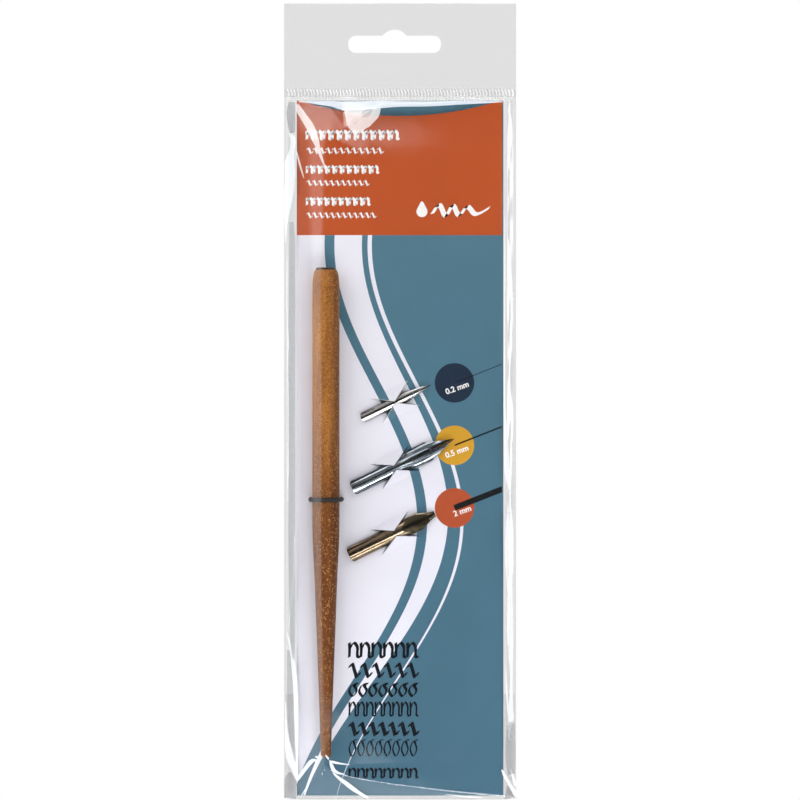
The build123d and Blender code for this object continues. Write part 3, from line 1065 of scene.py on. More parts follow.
@dataclass(frozen=True)
class HangingBag:
    """Clear header bag: folded header with its hang slot, two films, and the closing flap."""

    left: float = -38.1
    right: float = 41.9
    top: float = 14.4
    seam_top: float = -15.4
    seam_bottom: float = -18.1
    bottom: float = -260.0
    film: float = 0.1
    card_left: float = -34.5
    card_right: float = 38.2
    card_fade: float = 1.5      # over which the film's unevenness changes at the card's edges
    flat_below: float = -222.0  # where the flap covers the back film
    # (where a stretch of the front film's grid ends, and its pitch), across and along
    front_columns: tuple[Point2, ...] = ((-33.4, 0.3), (-8.0, 0.55), (37.4, 1.0), (41.9, 0.3))
    front_rows: tuple[Point2, ...] = ((-243.0, 0.4), (-32.0, 0.9), (-18.1, 0.4), (-15.4, 0.9))
    back_pitch: float = 2.0
    header_pitch: float = 0.8
    header_out: float = 0.3
    slot_width: float = 32.0
    slot_height: float = 6.0
    slot_corner: float = 2.6
    slot_arch: float = 5.0
    slot_arch_rise: float = 2.1
    rib_pitch: float = 1.12
    rib_margin: float = 1.0
    rib_width: float = 0.46
    rib_lean: float = 0.45
    rib_bow: float = 0.2
    rib_out: float = 0.04
    rib_wander: float = 0.12
    flap_top: float = -224.15
    flap_out: float = 0.37
    flap_inset: float = 0.4
    flap_film: float = 0.08
    flap_bend: float = 0.12
    tape_z: float = -231.65
    tape_height: float = 9.0
    tape_inset: float = 4.6
    tape_out: float = 0.25
    tape_film: float = 0.06
    crease_out: float = 0.05
    crease_rise: float = 0.08
    seed: float = 4.0
    card_slack: Slack = ((26.0, 0.35, 0.0), (9.0, 0.07, 3.0))
    card_lift: float = 0.12     # the least slack over the card, before its noise
    margin_slack: Slack = ((12.0, 0.4, 7.0), (5.0, 0.1, 9.0))
    back_slack: Slack = ((34.0, 0.5, 20.0),)
    header_slack: Slack = ((30.0, 0.45, 40.0), (11.0, 0.08, 44.0))
    flap_slack: Slack = ((18.0, 0.12, 60.0),)
    tent: Tent = field(default_factory=Tent)
    # the fan below the holder's tip, then pinches in the left and right margins, their white haze a
    # painted glint
    pinched: tuple[Crease, ...] = (
        ((-26.9, -247.5, 0.14), (-26.8, -246.3, 0.31), (-27.5, -245.8, 0.48), (-28.9, -246.8, 0.72),
         (-30.7, -249.2, 0.62), (-32.1, -251.3, 0.55), (-33.3, -253.1, 0.38)),
        ((-27.2, -244.5, 0.17), (-26.5, -244.7, 0.38), (-25.7, -245, 0.17)),
        ((-27.2, -248.4, 0.31), (-28.7, -252, 0.17), (-30, -255.1, 0.15), (-31.5, -257.7, 0.14),
         (-32.3, -259.4, 0.07)),
        ((-23.6, -243.8, 0.17), (-23, -244.5, 0.27), (-22.5, -245.3, 0.24)),
        ((-22.3, -245.8, 0.14), (-20.7, -246.3, 0.41), (-18.3, -246.8, 0.27),
         (-15.2, -247.2, 0.09)),
        ((-22, -246.1, 0.2), (-21.5, -247.4, 0.55), (-20.7, -249, 0.58), (-19.1, -250, 0.38),
         (-16.9, -250.4, 0.09)),
        ((-21, -249.9, 0.2), (-19.3, -251.6, 0.48), (-16.6, -253.8, 0.75), (-14.6, -255.6, 0.82),
         (-11.9, -257.7, 0.62), (-9, -259.5, 0.34)),
        ((17.3, -257.9, 0.07), (22.5, -258.7, 0.24), (27.6, -259.2, 0.24), (30.7, -259.5, 0.1)),
        ((-36.4, -30.7, 0.14), (-35, -32.6, 0.82), (-35, -35.4, 0.86), (-35.5, -37.7, 1.03),
         (-36.1, -40.8, 1.72), (-36, -45.6, 1.79), (-36.3, -50.4, 1.72), (-36.7, -54.5, 1.38),
         (-37.2, -58.5, 0.86), (-37.5, -63.4, 0.41), (-37.7, -68.5, 0.1)),
        ((-37, -73, 0.1), (-37.1, -80.6, 0.21), (-37.1, -89.9, 0.17), (-36.9, -98.6, 0.21),
         (-36.7, -104.1, 0.38), (-36.9, -109.6, 0.17), (-36.7, -122.7, 0.17), (-36.7, -136.5, 0.17),
         (-36.7, -146.8, 0.34), (-36.9, -151, 0.17), (-36.7, -157.9, 0.07)),
        ((-34.4, -169.4, 0.1), (-34.4, -174.6, 0.21), (-34.9, -184.6, 0.12), (-35.4, -189.8, 0.19),
         (-36, -196.7, 0.17), (-36.7, -201.3, 0.07)),
        ((-37.2, -202.7, 0.1), (-36, -207.1, 0.41), (-35.2, -210.7, 0.55), (-34.8, -214.5, 0.79),
         (-34.2, -219.6, 0.79), (-33.9, -225.7, 0.76), (-33.7, -232.6, 0.69), (-33.6, -241.2, 0.41),
         (-33.5, -247, 0.27), (-33.4, -252.9, 0.34)),
        ((-37.6, -226.9, 0.1), (-37.5, -231, 0.21), (-37.4, -235.8, 0.34), (-37, -239.9, 0.83),
         (-36.3, -244, 1.31), (-35.6, -246.6, 1.51), (-34.7, -249.2, 1.13), (-33.9, -251.9, 0.48),
         (-33.4, -253.8, 0.07)),
        ((37.8, -59.2, 0.07), (37.8, -74.7, 0.21), (37.7, -98.7, 0.24), (37.7, -122.7, 0.27),
         (38, -129.6, 0.41), (38.2, -136.4, 0.65), (38.5, -141.9, 0.86), (38.5, -145.4, 0.93),
         (38.7, -148.8, 0.76), (39.3, -151.9, 0.48), (40.1, -154.7, 0.1)),
        ((39.1, -161.2, 0.14), (38.9, -164.3, 0.62), (38.7, -170.8, 0.69), (38.5, -177.6, 0.51),
         (38.8, -184.5, 0.31), (39.1, -191.5, 0.1)),
        ((40.1, -182.6, 0.1), (40.2, -191.6, 0.48), (40.3, -205.4, 0.62), (40.2, -219.2, 0.48),
         (40.1, -228.1, 0.76), (40.1, -231.5, 1.03), (40.1, -233.6, 0.83)),
        ((38.1, -214.7, 0.07), (38.5, -222.3, 0.24), (39, -228.6, 0.34), (39.4, -232.8, 0.28)),
        ((39.6, -234.2, 0.83), (39.5, -236.9, 0.48), (39.4, -240, 0.07)),
        ((36.8, -249.6, 0.21), (37.9, -251.9, 0.48), (39.4, -254.5, 0.48), (40.8, -257.2, 0.66),
         (41.9, -259.3, 0.55)),
        ((40, -249.8, 0.17), (40.7, -252.3, 0.38), (41.7, -255.8, 0.45)),
    )
    # film pulled tight below the seam; white haze paints its glare where it turns toward the light
    stretched: tuple[Crease, ...] = (
        ((-33.5, -21.2, 0.52), (-32.5, -23.5, 1.06), (-30.9, -26.1, 1.23), (-28.9, -29.3, 1.37),
         (-27.3, -33, 1.26), (-26.1, -36.5, 0.78), (-25.1, -39.6, 0.51), (-24, -42.7, 0.27),
         (-23.5, -44.7, 0.07)),
        ((-11.4, -22.6, 6.82), (-11.4, -24, 6.38), (-11.8, -25.5, 5.63), (-12.3, -27.2, 4.71),
         (-12.8, -28.9, 3.75), (-13, -30.3, 2.56), (-13.1, -31.3, 1.23), (-13.1, -32, 0.31)),
        ((-33.6, -37.3, 0.14), (-32.9, -40.4, 0.31), (-32, -43.6, 0.31), (-31, -46.8, 0.1)),
    )
    # the film bent over the card's upper edge, its glare painted as white haze
    glossed: tuple[Crease, ...] = (
        ((-32.7, -20.3, 0.17), (-29, -20.5, 0.48), (-25.5, -20.8, 0.79), (-21.4, -21.1, 1.16),
         (-18.3, -21.6, 1.57), (-13.5, -21.7, 1.71), (-8.4, -21.7, 1.71), (-4.6, -21.5, 1.44),
         (1.9, -21.3, 1.06), (12.1, -21.2, 0.89), (22.4, -20.8, 0.62), (32.7, -20.5, 0.34),
         (37.1, -20.3, 0.14)),
    )
    # slack lying double along the side walls; its grey tint also paints shade on the margins
    tucked_and_shade: tuple[Crease, ...] = (
        ((-35.5, -61.5, 0.83), (-35.2, -71.1, 1.1), (-35.3, -98.6, 1.24), (-35.3, -139.9, 1.24),
         (-35.3, -177.7, 1.2), (-35.1, -198.3, 1.03), (-35, -208.7, 0.83), (-34.9, -214.8, 0.21)),
        ((-36.6, -208.9, 0.48), (-36.1, -219.1, 1.1), (-36, -227.7, 1.24), (-35.4, -238, 1.03),
         (-34.7, -243.7, 0.48), (-34.2, -247.8, 0.14)),
        ((40.1, -234.3, 1.45), (39.9, -241.5, 1.86), (40, -247.4, 1.79), (40.3, -251.6, 1.24)),
    )
    # slack gathered in several plies at the foot corners; the grey tint paints shade there and on
    # the top-left margin under the seam
    gathered_and_shade: tuple[Crease, ...] = (
        ((-35.3, -20.2, 1.17), (-35.7, -23.6, 1.58), (-35.4, -27.7, 1.38), (-35.1, -30.9, 0.89)),
        ((-36, -250.8, 0.28), (-35.9, -253.6, 2.14), (-36, -257, 2.17), (-36, -259.8, 2.07)),
        ((38.8, -255.5, 0.34), (39.4, -258.3, 1.38), (39.6, -259.8, 1.89)),
    )

    def slot_gap(self, x: float, z: float) -> float:
        """Signed distance to the hang slot's outline; negative inside the slot.

        Args:
            x: across the header, from the slot's middle.
            z: height from the slot's middle.

        Returns:
            The distance in mm.
        """
        r = self.slot_corner
        qx = abs(x) - (self.slot_width / 2 - r)
        qz = abs(z) - (self.slot_height / 2 - r)
        box = math.hypot(max(qx, 0), max(qz, 0)) + min(max(qx, qz), 0) - r
        middle = self.slot_height / 2 - self.slot_arch + self.slot_arch_rise
        arch = max(math.hypot(x, z - middle) - self.slot_arch, -z - self.slot_height / 2)
        return min(box, arch)

    def crumple(self, x: float, z: float, slack: Slack) -> float:
        """Soft random unevenness of a film, drawn out along Z.

        Args:
            x: across the film.
            z: height on the film.
            slack: (size, depth, layer) of each part of the unevenness.

        Returns:
            Offset in mm, to either side.
        """
        return sum(
            depth * noise.noise(Vector((x / size, z / (size * 1.7), self.seed + layer)))
            for size, depth, layer in slack
        )

    def front_out(self, x: float, z: float) -> float:
        """Height of the front film's outside with its creases and unevenness.

        Args:
            x: across the bag.
            z: height on the bag.

        Returns:
            Distance in front of the bag's middle plane.
        """
        tent = self.tent
        loose = within(x, tent.foot_left, tent.foot_right, 2.0)
        loose *= within(z, self.bottom, self.seam_bottom, 3.0)
        lift = max(0.0, self.crumple(x, z, self.card_slack) + self.card_lift)
        lift *= ease((z - self.bottom) / 12.0)
        margin = self.crumple(x * 3, z, self.margin_slack)
        on_card = within(x, self.card_left, self.card_right, self.card_fade)
        return max(tent.out(x, z) + loose * mix(margin, lift, on_card), tent.foot_out)

    def build_front(self, material: Material) -> None:
        """The front film, tented over the card and the holder.

        Args:
            material: clear film.
        """
        columns, rows = chain(self.left, *self.front_columns), chain(self.bottom, *self.front_rows)
        mesh = sheet_grid(columns, rows, lambda x, z: (x, -self.front_out(x, z), z))
        face_toward(mesh)
        thicken(mesh, self.film)
        piece = make_piece(mesh, "front_film", Body.PACK, material, "bag_film", 60.0)
        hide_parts("bag_front_film")

    def build_creases(self, name: str, creases: Sequence[Crease], material: Material) -> None:
        """Lay one kind of crease on the front film, as tapering ribbons.

        Args:
            name: Name of the piece that holds them all.
            creases: The creases.
            material: How film of that kind looks, its painted glints, glare or shade included.
        """
        mesh = bmesh.new()
        for crease in creases:
            spots = curve(crease)
            lines = [self.crease_line(mesh, spots, i) for i in range(len(spots))]
            for low, high in zip(lines, lines[1:]):
                for k in range(4):
                    mesh.faces.new((low[k], low[k + 1], high[k + 1], high[k]))
        face_each_front(mesh)
        make_piece(mesh, name, Body.PACK, material, "bag_film")

    def crease_line(self, mesh: Mesh, spots: Sequence[Point3], i: int) -> list[bmesh.types.BMVert]:
        """Add the points that lie across a crease at one of its spots, from edge to edge.

        Args:
            mesh: bmesh that takes the points.
            spots: the crease's spots.
            i: which of them.

        Returns:
            The points added.
        """
        x, z, half = spots[i]
        ahead, behind = spots[min(i + 1, len(spots) - 1)], spots[max(i - 1, 0)]
        run = Vector((ahead[0] - behind[0], ahead[1] - behind[1])).normalized()
        line = []
        for v in (-1.0, -0.6, 0.0, 0.6, 1.0):
            px = min(self.right, max(self.left, x - run.y * v * half))
            pz = min(self.seam_bottom, max(self.bottom, z + run.x * v * half))
            out = self.front_out(px, pz) + self.crease_out
            out += self.crease_rise * min(1.0, half) * (1 - v * v)
            line.append(mesh.verts.new((px, -out, pz)))
        return line

    def back_point(self, x: float, z: float) -> Point3:
        """A point of the back film, flat at its edges and under the flap and loose between.

        Args:
            x: across the bag.
            z: height on the bag.

        Returns:
            The point.
        """
        loose = within(z, self.flat_below, self.seam_bottom - 1.9, 12.0, 8.0)
        loose *= within(x, self.left, self.right, 4.0)
        return (x, self.tent.foot_out + loose * abs(self.crumple(x, z, self.back_slack)), z)

    def build_back(self, material: Material) -> None:
        """The back film.

        Args:
            material: clear film.
        """
        columns = spread(self.left, self.right, self.back_pitch)
        rows = spread(self.bottom, self.seam_top, self.back_pitch)
        mesh = sheet_grid(columns, rows, self.back_point)
        face_toward(mesh, 1.0)
        thicken(mesh, self.film)
        piece = make_piece(mesh, "back_film", Body.PACK, material, "bag_film", 60.0)
        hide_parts("bag_back_film")

    def header_runs(self) -> Point2:
        """Lengths along the header's strip: one straight ply, and the fold between the two."""
        return (self.top - self.seam_bottom - self.header_out, math.pi * self.header_out)

    def header_point(self, x: float, s: float) -> Point3:
        """A point of the header, s along its strip from the front seam over the top.

        Args:
            x: across the header.
            s: distance along its strip.

        Returns:
            The point.
        """
        out = self.header_out
        straight, fold = self.header_runs()
        if s <= straight:
            y, z = -out, self.seam_bottom + s
        elif s < straight + fold:
            turn = (s - straight) / out
            y, z = -out * math.cos(turn), self.top - out + out * math.sin(turn)
        else:
            y, z = out, self.top - out - (s - straight - fold)
        free = within(z, self.seam_bottom + 2, self.top, 6.0, 3.0) * ease(self.slot_gap(x, z) / 4.0)
        return (x, y + free * self.crumple(x, z, self.header_slack), z)

    def build_header(self, material: Material) -> None:
        """The header: one strip folded over the top, punched through both plies.

        Args:
            material: clear film.
        """
        pitch = self.header_pitch
        straight, fold = self.header_runs()
        rows = spread(0.0, straight, pitch)
        rows += [straight + fold * i / 4 for i in range(1, 4)]
        rows += [straight + fold + s for s in spread(0.0, straight, pitch)]
        mesh = sheet_grid(spread(self.left, self.right, pitch), rows, self.header_point)
        inside = [f for f in mesh.faces if self.slot_gap(*f.calc_center_median().xz) < 0]
        bmesh.ops.delete(mesh, geom=inside, context="FACES")
        for vert in mesh.verts:
            if vert.is_boundary and abs(self.slot_gap(*vert.co.xz)) < 1.5 * pitch:
                self.snap_to_slot(vert)
        face_toward(mesh, -1.0, [f for f in mesh.faces if f.calc_center_median().y < -0.1])
        thicken(mesh, self.film)
        header = make_piece(mesh, "header", Body.PACK, material, "header_film", 50.0)
        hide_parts("header_strip")

    def snap_to_slot(self, vert: bmesh.types.BMVert) -> None:
        """Slide a point on the punched edge onto the slot's true outline.

        Args:
            vert: point of the header's mesh.
        """
        step, steepness = 0.01, 0.3
        for _ in range(3):
            x, z = vert.co.xz
            gap = self.slot_gap(x, z)
            gx = (self.slot_gap(x + step, z) - gap) / step
            gz = (self.slot_gap(x, z + step) - gap) / step
            size = max(steepness, gx * gx + gz * gz)
            vert.co.x -= gap * gx / size
            vert.co.z -= gap * gz / size

    def build_weld(self, material: Material) -> None:
        """The welded band under the ribs, where the plies have melted together.

        Args:
            material: clear film.
        """
        rows = spread(self.seam_bottom, self.seam_top, 1.0)
        columns = spread(self.left, self.right, 2.0)
        mesh = sheet_grid(columns, rows, lambda x, z: (x, -self.header_out - 0.01, z))
        face_toward(mesh)
        make_piece(mesh, "seam_weld", Body.PACK, material, "header_film")

    def rib_point(self, x: float, across: float, along: float) -> Point3:
        """A point of a rib that stands at x; both shares run from -0.5 to 0.5.

        Args:
            x: where the rib stands.
            across: share of the rib's width.
            along: share of its length.

        Returns:
            The point.
        """
        bow = self.rib_bow * (1 - 4 * along * along) - along * self.rib_lean
        swell = (1 - 4 * across * across) * (1 - 16 * along**4)
        return (
            x + across * self.rib_width + bow,
            -self.header_out - 0.02 - self.rib_out * max(0.0, swell),
            mix(self.seam_bottom + 0.15, self.seam_top - 0.15, along + 0.5),
        )

    def build_ribs(self, material: Material) -> None:
        """The seam's embossed ribs: short bowed ridges pressed up by the sealing bar.

        Args:
            material: clear film.
        """
        mesh = bmesh.new()
        count = int((self.right - self.left - 2 * self.rib_margin) // self.rib_pitch) + 1
        first = (self.left + self.right) / 2 - (count - 1) * self.rib_pitch / 2
        for i in range(count):
            x = first + i * self.rib_pitch
            x += self.rib_wander * noise.noise(Vector((i * 0.7, 3.0, 0.0)))
            bend_grid(mesh, 4, 6, partial(self.rib_point, x))
        face_toward(mesh)
        make_piece(mesh, "seam_ribs", Body.PACK, material, "header_film")

    def flap_point(self, x: float, s: float) -> Point3:
        """A point of the flap; s is 1 at the bag's back, 2 past the bend, 3 at the flap's top.

        Args:
            x: across the flap.
            s: how far round the flap, in stretches.

        Returns:
            The point.
        """
        out, radius, floor = self.flap_out, self.flap_bend, self.bottom - 0.1
        if s <= 1:
            return (x, mix(-self.tent.out(x, self.bottom), out - radius, s), floor)
        if s <= 2:
            turn = (s - 1) * math.pi / 2
            y = out - radius + radius * math.sin(turn)
            return (x, y, floor + radius * (1 - math.cos(turn)))
        z = mix(floor + radius, self.flap_top, s - 2)
        loose = within(z, self.bottom + 3, self.tape_z - self.tape_height / 2, 6.0)
        return (x, out + loose * abs(self.crumple(x, z, self.flap_slack)), z)

    def build_flap(self, material: Material) -> None:
        """The closing flap, from the front film's foot under the bag and up its back.

        Args:
            material: clear film.
        """
        columns = spread(self.left + self.flap_inset, self.right - self.flap_inset, 1.6)
        mesh = sheet_grid(columns, chain(0.0, (2.0, 1 / 4), (3.0, 1 / 18)), self.flap_point)
        face_toward(mesh, 1.0)
        thicken(mesh, self.flap_film)
        flap = make_piece(mesh, "closing_flap", Body.FLAP, material, "bag_film", 40.0)
        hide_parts("closure_flap")

    def build_tape(self, material: Material) -> None:
        """The strip of tape on the flap's inner face.

        Args:
            material: the tape's gel.
        """
        strip = bmesh.new()
        middle = (self.left + self.right) / 2
        wide = self.right - self.left - 2 * (self.flap_inset + self.tape_inset)
        bend_grid(strip, 40, 6, lambda u, v: (
            middle + u * wide, self.tape_out, self.tape_z + v * self.tape_height
        ))
        face_toward(strip, 1.0)
        thicken(strip, self.tape_film)
        gel = make_piece(strip, "adhesive_strip", Body.FLAP, material, "tape", 35.0)
        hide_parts("flap_adhesive")

    def build(self) -> None:
        """Make every film piece of the bag."""
        bag = ClearFilm("bag_film_polypropylene").make()
        self.build_front(bag)
        for name, creases, finish in (
            # painted glint: white haze along the pinched creases
            ("pinched_creases", self.pinched,
             ClearFilm("painted_glint_film", haze="#eef1f4", haze_share=0.75, polish=0.2)),
            # painted glare: white haze below the seam
            ("stretched_creases", self.stretched,
             ClearFilm("painted_glare_film", haze_share=0.5, polish=0.15)),
            # painted highlight: white haze along the card's upper edge
            ("edge_gloss_crease", self.glossed,
             ClearFilm("painted_edge_glare_film", haze="#e6ecf4", haze_share=0.75, polish=0.15)),
            # doubled film whose grey tint also paints the margins' shade
            ("tucked_plies", self.tucked_and_shade, ClearFilm("doubled_film_and_painted_shade", tint="#e8e9ec", polish=0.1)),
            # painted shade: grey plies at the top-left margin and the foot corners
            ("gathered_plies", self.gathered_and_shade,
             ClearFilm("gathered_film_and_painted_shade", tint="#d8d9dc", polish=0.1)),
        ):
            self.build_creases(name, creases, finish.make())
        self.build_back(bag)
        self.build_header(ClearFilm("header_film_polypropylene", ripple_mm=12.0).make())
        for share, name, build in (
            (0.2, "melted_weld", self.build_weld), (0.8, "embossed_weld", self.build_ribs),
        ):
            build(ClearFilm(name, haze_share=share, polish=0.35, ripple_mm=0.5).make())
        self.build_flap(bag)
        self.build_tape(AdhesiveTape().make())


# ---- the card ------------------------------------------------------------------------

# each practice figure's strokes as (x, z), in shares of its width and height
FIGURES: dict[str, tuple[Stroke, ...]] = {
    "arches": (
        ((0, 1), (0.04, 0.5), (0, 0)),
        ((0.05, 0.55), (0.45, 1), (0.85, 0.7), (0.85, 0.1), (1.15, 0)),
    ),
    "waves": (((0, 0.7), (0.3, 1), (0.55, 0.5), (0.8, 0), (1.15, 0.35)),),
    "ovals": (((0.8, 0.85), (0.4, 1), (0, 0.45), (0.45, 0), (0.9, 0.5), (0.55, 1), (1.1, 1.08)),),
}


@dataclass(frozen=True)
class PenRow:
    """One row of pen practice: a figure drawn over and over."""

    figure: str
    foot: float
    height: float
    width: float        # of the pen's edge
    count: int
    length: float = 24.0


@dataclass(frozen=True)
class DisplayCard:
    """The folded printed card, with its ink laid on as separate thin shapes."""

    ink_y: float = CARD_FRONT - 0.015
    number_size: float = 2.75
    number_weight: float = 0.06
    number_tilt: float = 20.0
    numbers: tuple[tuple[str, float, float], ...] = (
        ("0.2 mm", 17.9, -120.8), ("0.5 mm", 17.8, -142.7), ("2 mm", 20.6, -162.8),
    )
    head_left: float = -30.2
    head_rows: tuple[PenRow, ...] = (
        PenRow("arches", -33.0, 2.9, 0.7, 11, 32.0), PenRow("waves", -37.9, 1.9, 0.45, 12, 26.5),
        PenRow("arches", -44.6, 2.4, 0.6, 10, 25.0), PenRow("waves", -48.9, 1.7, 0.4, 11, 21.6),
        PenRow("arches", -55.6, 2.4, 0.6, 9, 22.0), PenRow("waves", -60.0, 1.7, 0.4, 12, 24.0),
    )
    flourish: Stroke = (
        (13.0, -58.6), (15.4, -55.6), (17.6, -59.4), (20.0, -55.8), (22.2, -59.2), (25.0, -56.2),
        (28.0, -58.8), (32.6, -56.6),
    )
    drop: Point3 = (9.4, -57.9, 1.9)    # x, z and radius of the ink drop beside it
    drop_tail: float = 0.9              # how much farther its point reaches
    practice_left: float = -15.6
    practice_rows: tuple[PenRow, ...] = (
        PenRow("arches", -211.2, 5.0, 0.95, 6), PenRow("waves", -218.0, 4.6, 1.05, 6),
        PenRow("ovals", -224.6, 4.0, 0.8, 7), PenRow("arches", -231.4, 4.8, 0.6, 8),
        PenRow("waves", -238.0, 4.2, 1.2, 7), PenRow("ovals", -245.2, 5.2, 0.5, 8),
        PenRow("arches", -252.6, 3.2, 0.7, 8),
    )
    pen_angle: float = 38.0
    figure_share: float = 0.82          # of its room that a figure fills

    def ribbon(self, mesh: Mesh, stroke: Stroke, width: float, thin: float) -> None:
        """Lay one stroke on the card as a thin ribbon, drawn with an edge held at one angle.

        Args:
            mesh: The mesh that gathers the row's strokes.
            stroke: The pen's path in (x, z).
            width: The pen edge's width in millimetres.
            thin: The least width, where the pen moves along its own edge.
        """
        edge = Vector(facing(self.pen_angle)) * width / 2
        spots = [Vector(spot) for spot in curve(stroke)]
        pairs = []
        for i, spot in enumerate(spots):
            ahead = spots[min(i + 1, len(spots) - 1)] - spots[max(i - 1, 0)]
            side = Vector((-ahead.y, ahead.x)).normalized()
            if side.dot(edge) < 0:
                side = -side
            half = edge + side * thin / 2
            sides = (spot + half, spot - half)
            pairs.append([mesh.verts.new((at.x, self.ink_y, at.y)) for at in sides])
        for (a, b), (c, d) in zip(pairs, pairs[1:]):
            mesh.faces.new((a, b, d, c))

    def ink_piece(self, mesh: Mesh, name: str, ink: Material) -> None:
        """Turn flat shapes on the card into one ink piece."""
        face_each_front(mesh)
        make_piece(mesh, name, Body.PACK, ink, "card")

    def build_rows(
        self, name: str, rows: Sequence[PenRow], left: float, ink: Material,
        thin: Callable[[float], float],
    ) -> None:
        """Make each row of figures a single ink piece.

        Args:
            name: Name of the pieces, before their number.
            rows: What to draw.
            left: Where the rows start.
            ink: The ink.
            thin: Turns a pen's width into its least width.
        """
        for number, row in enumerate(rows, 1):
            mesh = bmesh.new()
            step = row.length / row.count
            wide = step * self.figure_share
            for i in range(row.count):
                x = left + i * step
                for stroke in FIGURES[row.figure]:
                    path = [(x + u * wide, row.foot + v * row.height) for u, v in stroke]
                    self.ribbon(mesh, path, row.width, thin(row.width))
            self.ink_piece(mesh, f"{name}_{number}", ink)

    def build_flourish(self, ink: Material) -> None:
        """A pen flourish with an ink drop beside it.

        Args:
            ink: white ink.
        """
        mesh = bmesh.new()
        self.ribbon(mesh, self.flourish, 1.3, 0.5)
        self.ink_piece(mesh, "flourish", ink)
        x, z, radius = self.drop
        mesh = bmesh.new()
        rim = []
        for turn in spread(0.0, 2 * math.pi, math.pi / 12)[:-1]:
            up = math.cos(turn) * (1.0 + self.drop_tail * max(0.0, math.cos(turn)) ** 6)
            place = (x + radius * math.sin(turn), self.ink_y, z + radius * up)
            rim.append(mesh.verts.new(place))
        mesh.faces.new(rim)
        self.ink_piece(mesh, "ink_drop", ink)

    def build_numbers(self, ink: Material) -> None:
        """The plain line-width numbers under the three sample lines.

        Args:
            ink: white ink.
        """
        c, s = facing(self.number_tilt)
        for number, (text, x, z) in enumerate(self.numbers, 1):
            letters = bpy.data.curves.new(f"width_number_{number}", "FONT")
            letters.body = text
            letters.size = self.number_size
            letters.offset = self.number_weight
            source = bpy.data.objects.new("number_outline", letters)
            mesh = bmesh.new()
            mesh.from_mesh(bpy.data.meshes.new_from_object(source))
            bpy.data.objects.remove(source)
            bmesh.ops.remove_doubles(mesh, verts=mesh.verts, dist=MERGE)
            for vert in mesh.verts:
                u, v = vert.co.xy
                vert.co = (x + u * c - v * s, self.ink_y, z + u * s + v * c)
            self.ink_piece(mesh, f"width_number_{number}", ink)

    def build(self) -> None:
        """Dress the card and lay on its ink."""
        dress("display_card", PrintedCard().make())
        white = PrintInk("white_ink", "#ffffff", "#f4ece8").make()
        navy = PrintInk("navy_ink", "#050e18", "#0a1826").make()
        self.build_rows("head_marks", self.head_rows, self.head_left, white, lambda w: w * 0.55)
        self.build_flourish(white)
        self.build_rows(
            "practice_strokes", self.practice_rows, self.practice_left, navy,
            lambda w: w * 0.18 + 0.06,
        )
        self.build_numbers(white)


# ---- the penholder -------------------------------------------------------------------


@dataclass(frozen=True)
class Penholder:
    """Turned wooden holder with its steel nib clip, seated in the elastic loop."""

    top: float = -78.2
    length: float = 167.0
    mouth_radius: float = 3.85
    mouth_round: float = 0.25
    bore_radius: float = 3.2
    bore_depth: float = 17.0
    tip_radius: float = 1.75
    tip_depth: float = 165.7        # where the tip's rounding starts
    sides: int = 72
    outline: tuple[Point2, ...] = (
        (0.35, 3.93), (0.78, 4.09), (2.3, 4.38), (4.2, 4.57), (6.5, 4.65), (30, 4.65), (60, 4.65),
        (88, 4.65), (95, 4.45), (101, 4.12), (107, 3.85), (115, 3.57), (124, 3.23), (136, 2.77),
        (150, 2.26), (160, 1.93), (165.7, 1.75),
    )

    def profile(self) -> list[Point2]:
        """Half outline as (radius, depth), from the bore's floor out and down to the tip.

        Returns:
            The outline's points.
        """
        points = [
            (0.0, self.bore_depth), (self.bore_radius, self.bore_depth), (self.bore_radius, 0.0),
            (self.mouth_radius - self.mouth_round, 0.0), (self.mouth_radius - 0.07, 0.07),
            (self.mouth_radius, self.mouth_round),
        ]
        depths = chain(self.outline[0][0], (6.5, 0.6), (88.0, 8.0), (self.tip_depth, 1.5))
        points += [(smooth_rows(self.outline, d), d) for d in depths]
        drop = self.length - self.tip_depth
        rounding = [facing(15.0 * i) for i in range(1, 6)]
        points += [(self.tip_radius * c, self.tip_depth + drop * s) for c, s in rounding]
        return [*points, (0.0, self.length)]

    def build(self) -> None:
        """Spin the holder's outline about its axis, and dress the clip."""
        mesh = bmesh.new()
        x, y = HOLDER_AXIS
        verts = [mesh.verts.new((x + r, y, self.top - d)) for r, d in self.profile()]
        edges = [mesh.edges.new(pair) for pair in zip(verts, verts[1:])]
        bmesh.ops.spin(
            mesh, geom=verts + edges, angle=2 * math.pi, steps=self.sides, axis=(0, 0, 1),
            cent=(x, y, 0), use_merge=True,
        )
        bmesh.ops.remove_doubles(mesh, verts=mesh.verts, dist=MERGE)
        bmesh.ops.recalc_face_normals(mesh, faces=mesh.faces)
        wood = LacqueredWood().make()
        piece = make_piece(mesh, "turned_holder", Body.HOLDER, wood, "lacquered_wood", 40.0)
        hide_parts("penholder")
        steel = PressedSteel("clip_spring_steel", "#6f6a64", "#3a3633", 0.28, 0.6, tilt=90.0).make()
        dress("clip_sleeve", steel)
        dress("clip_prongs", steel)


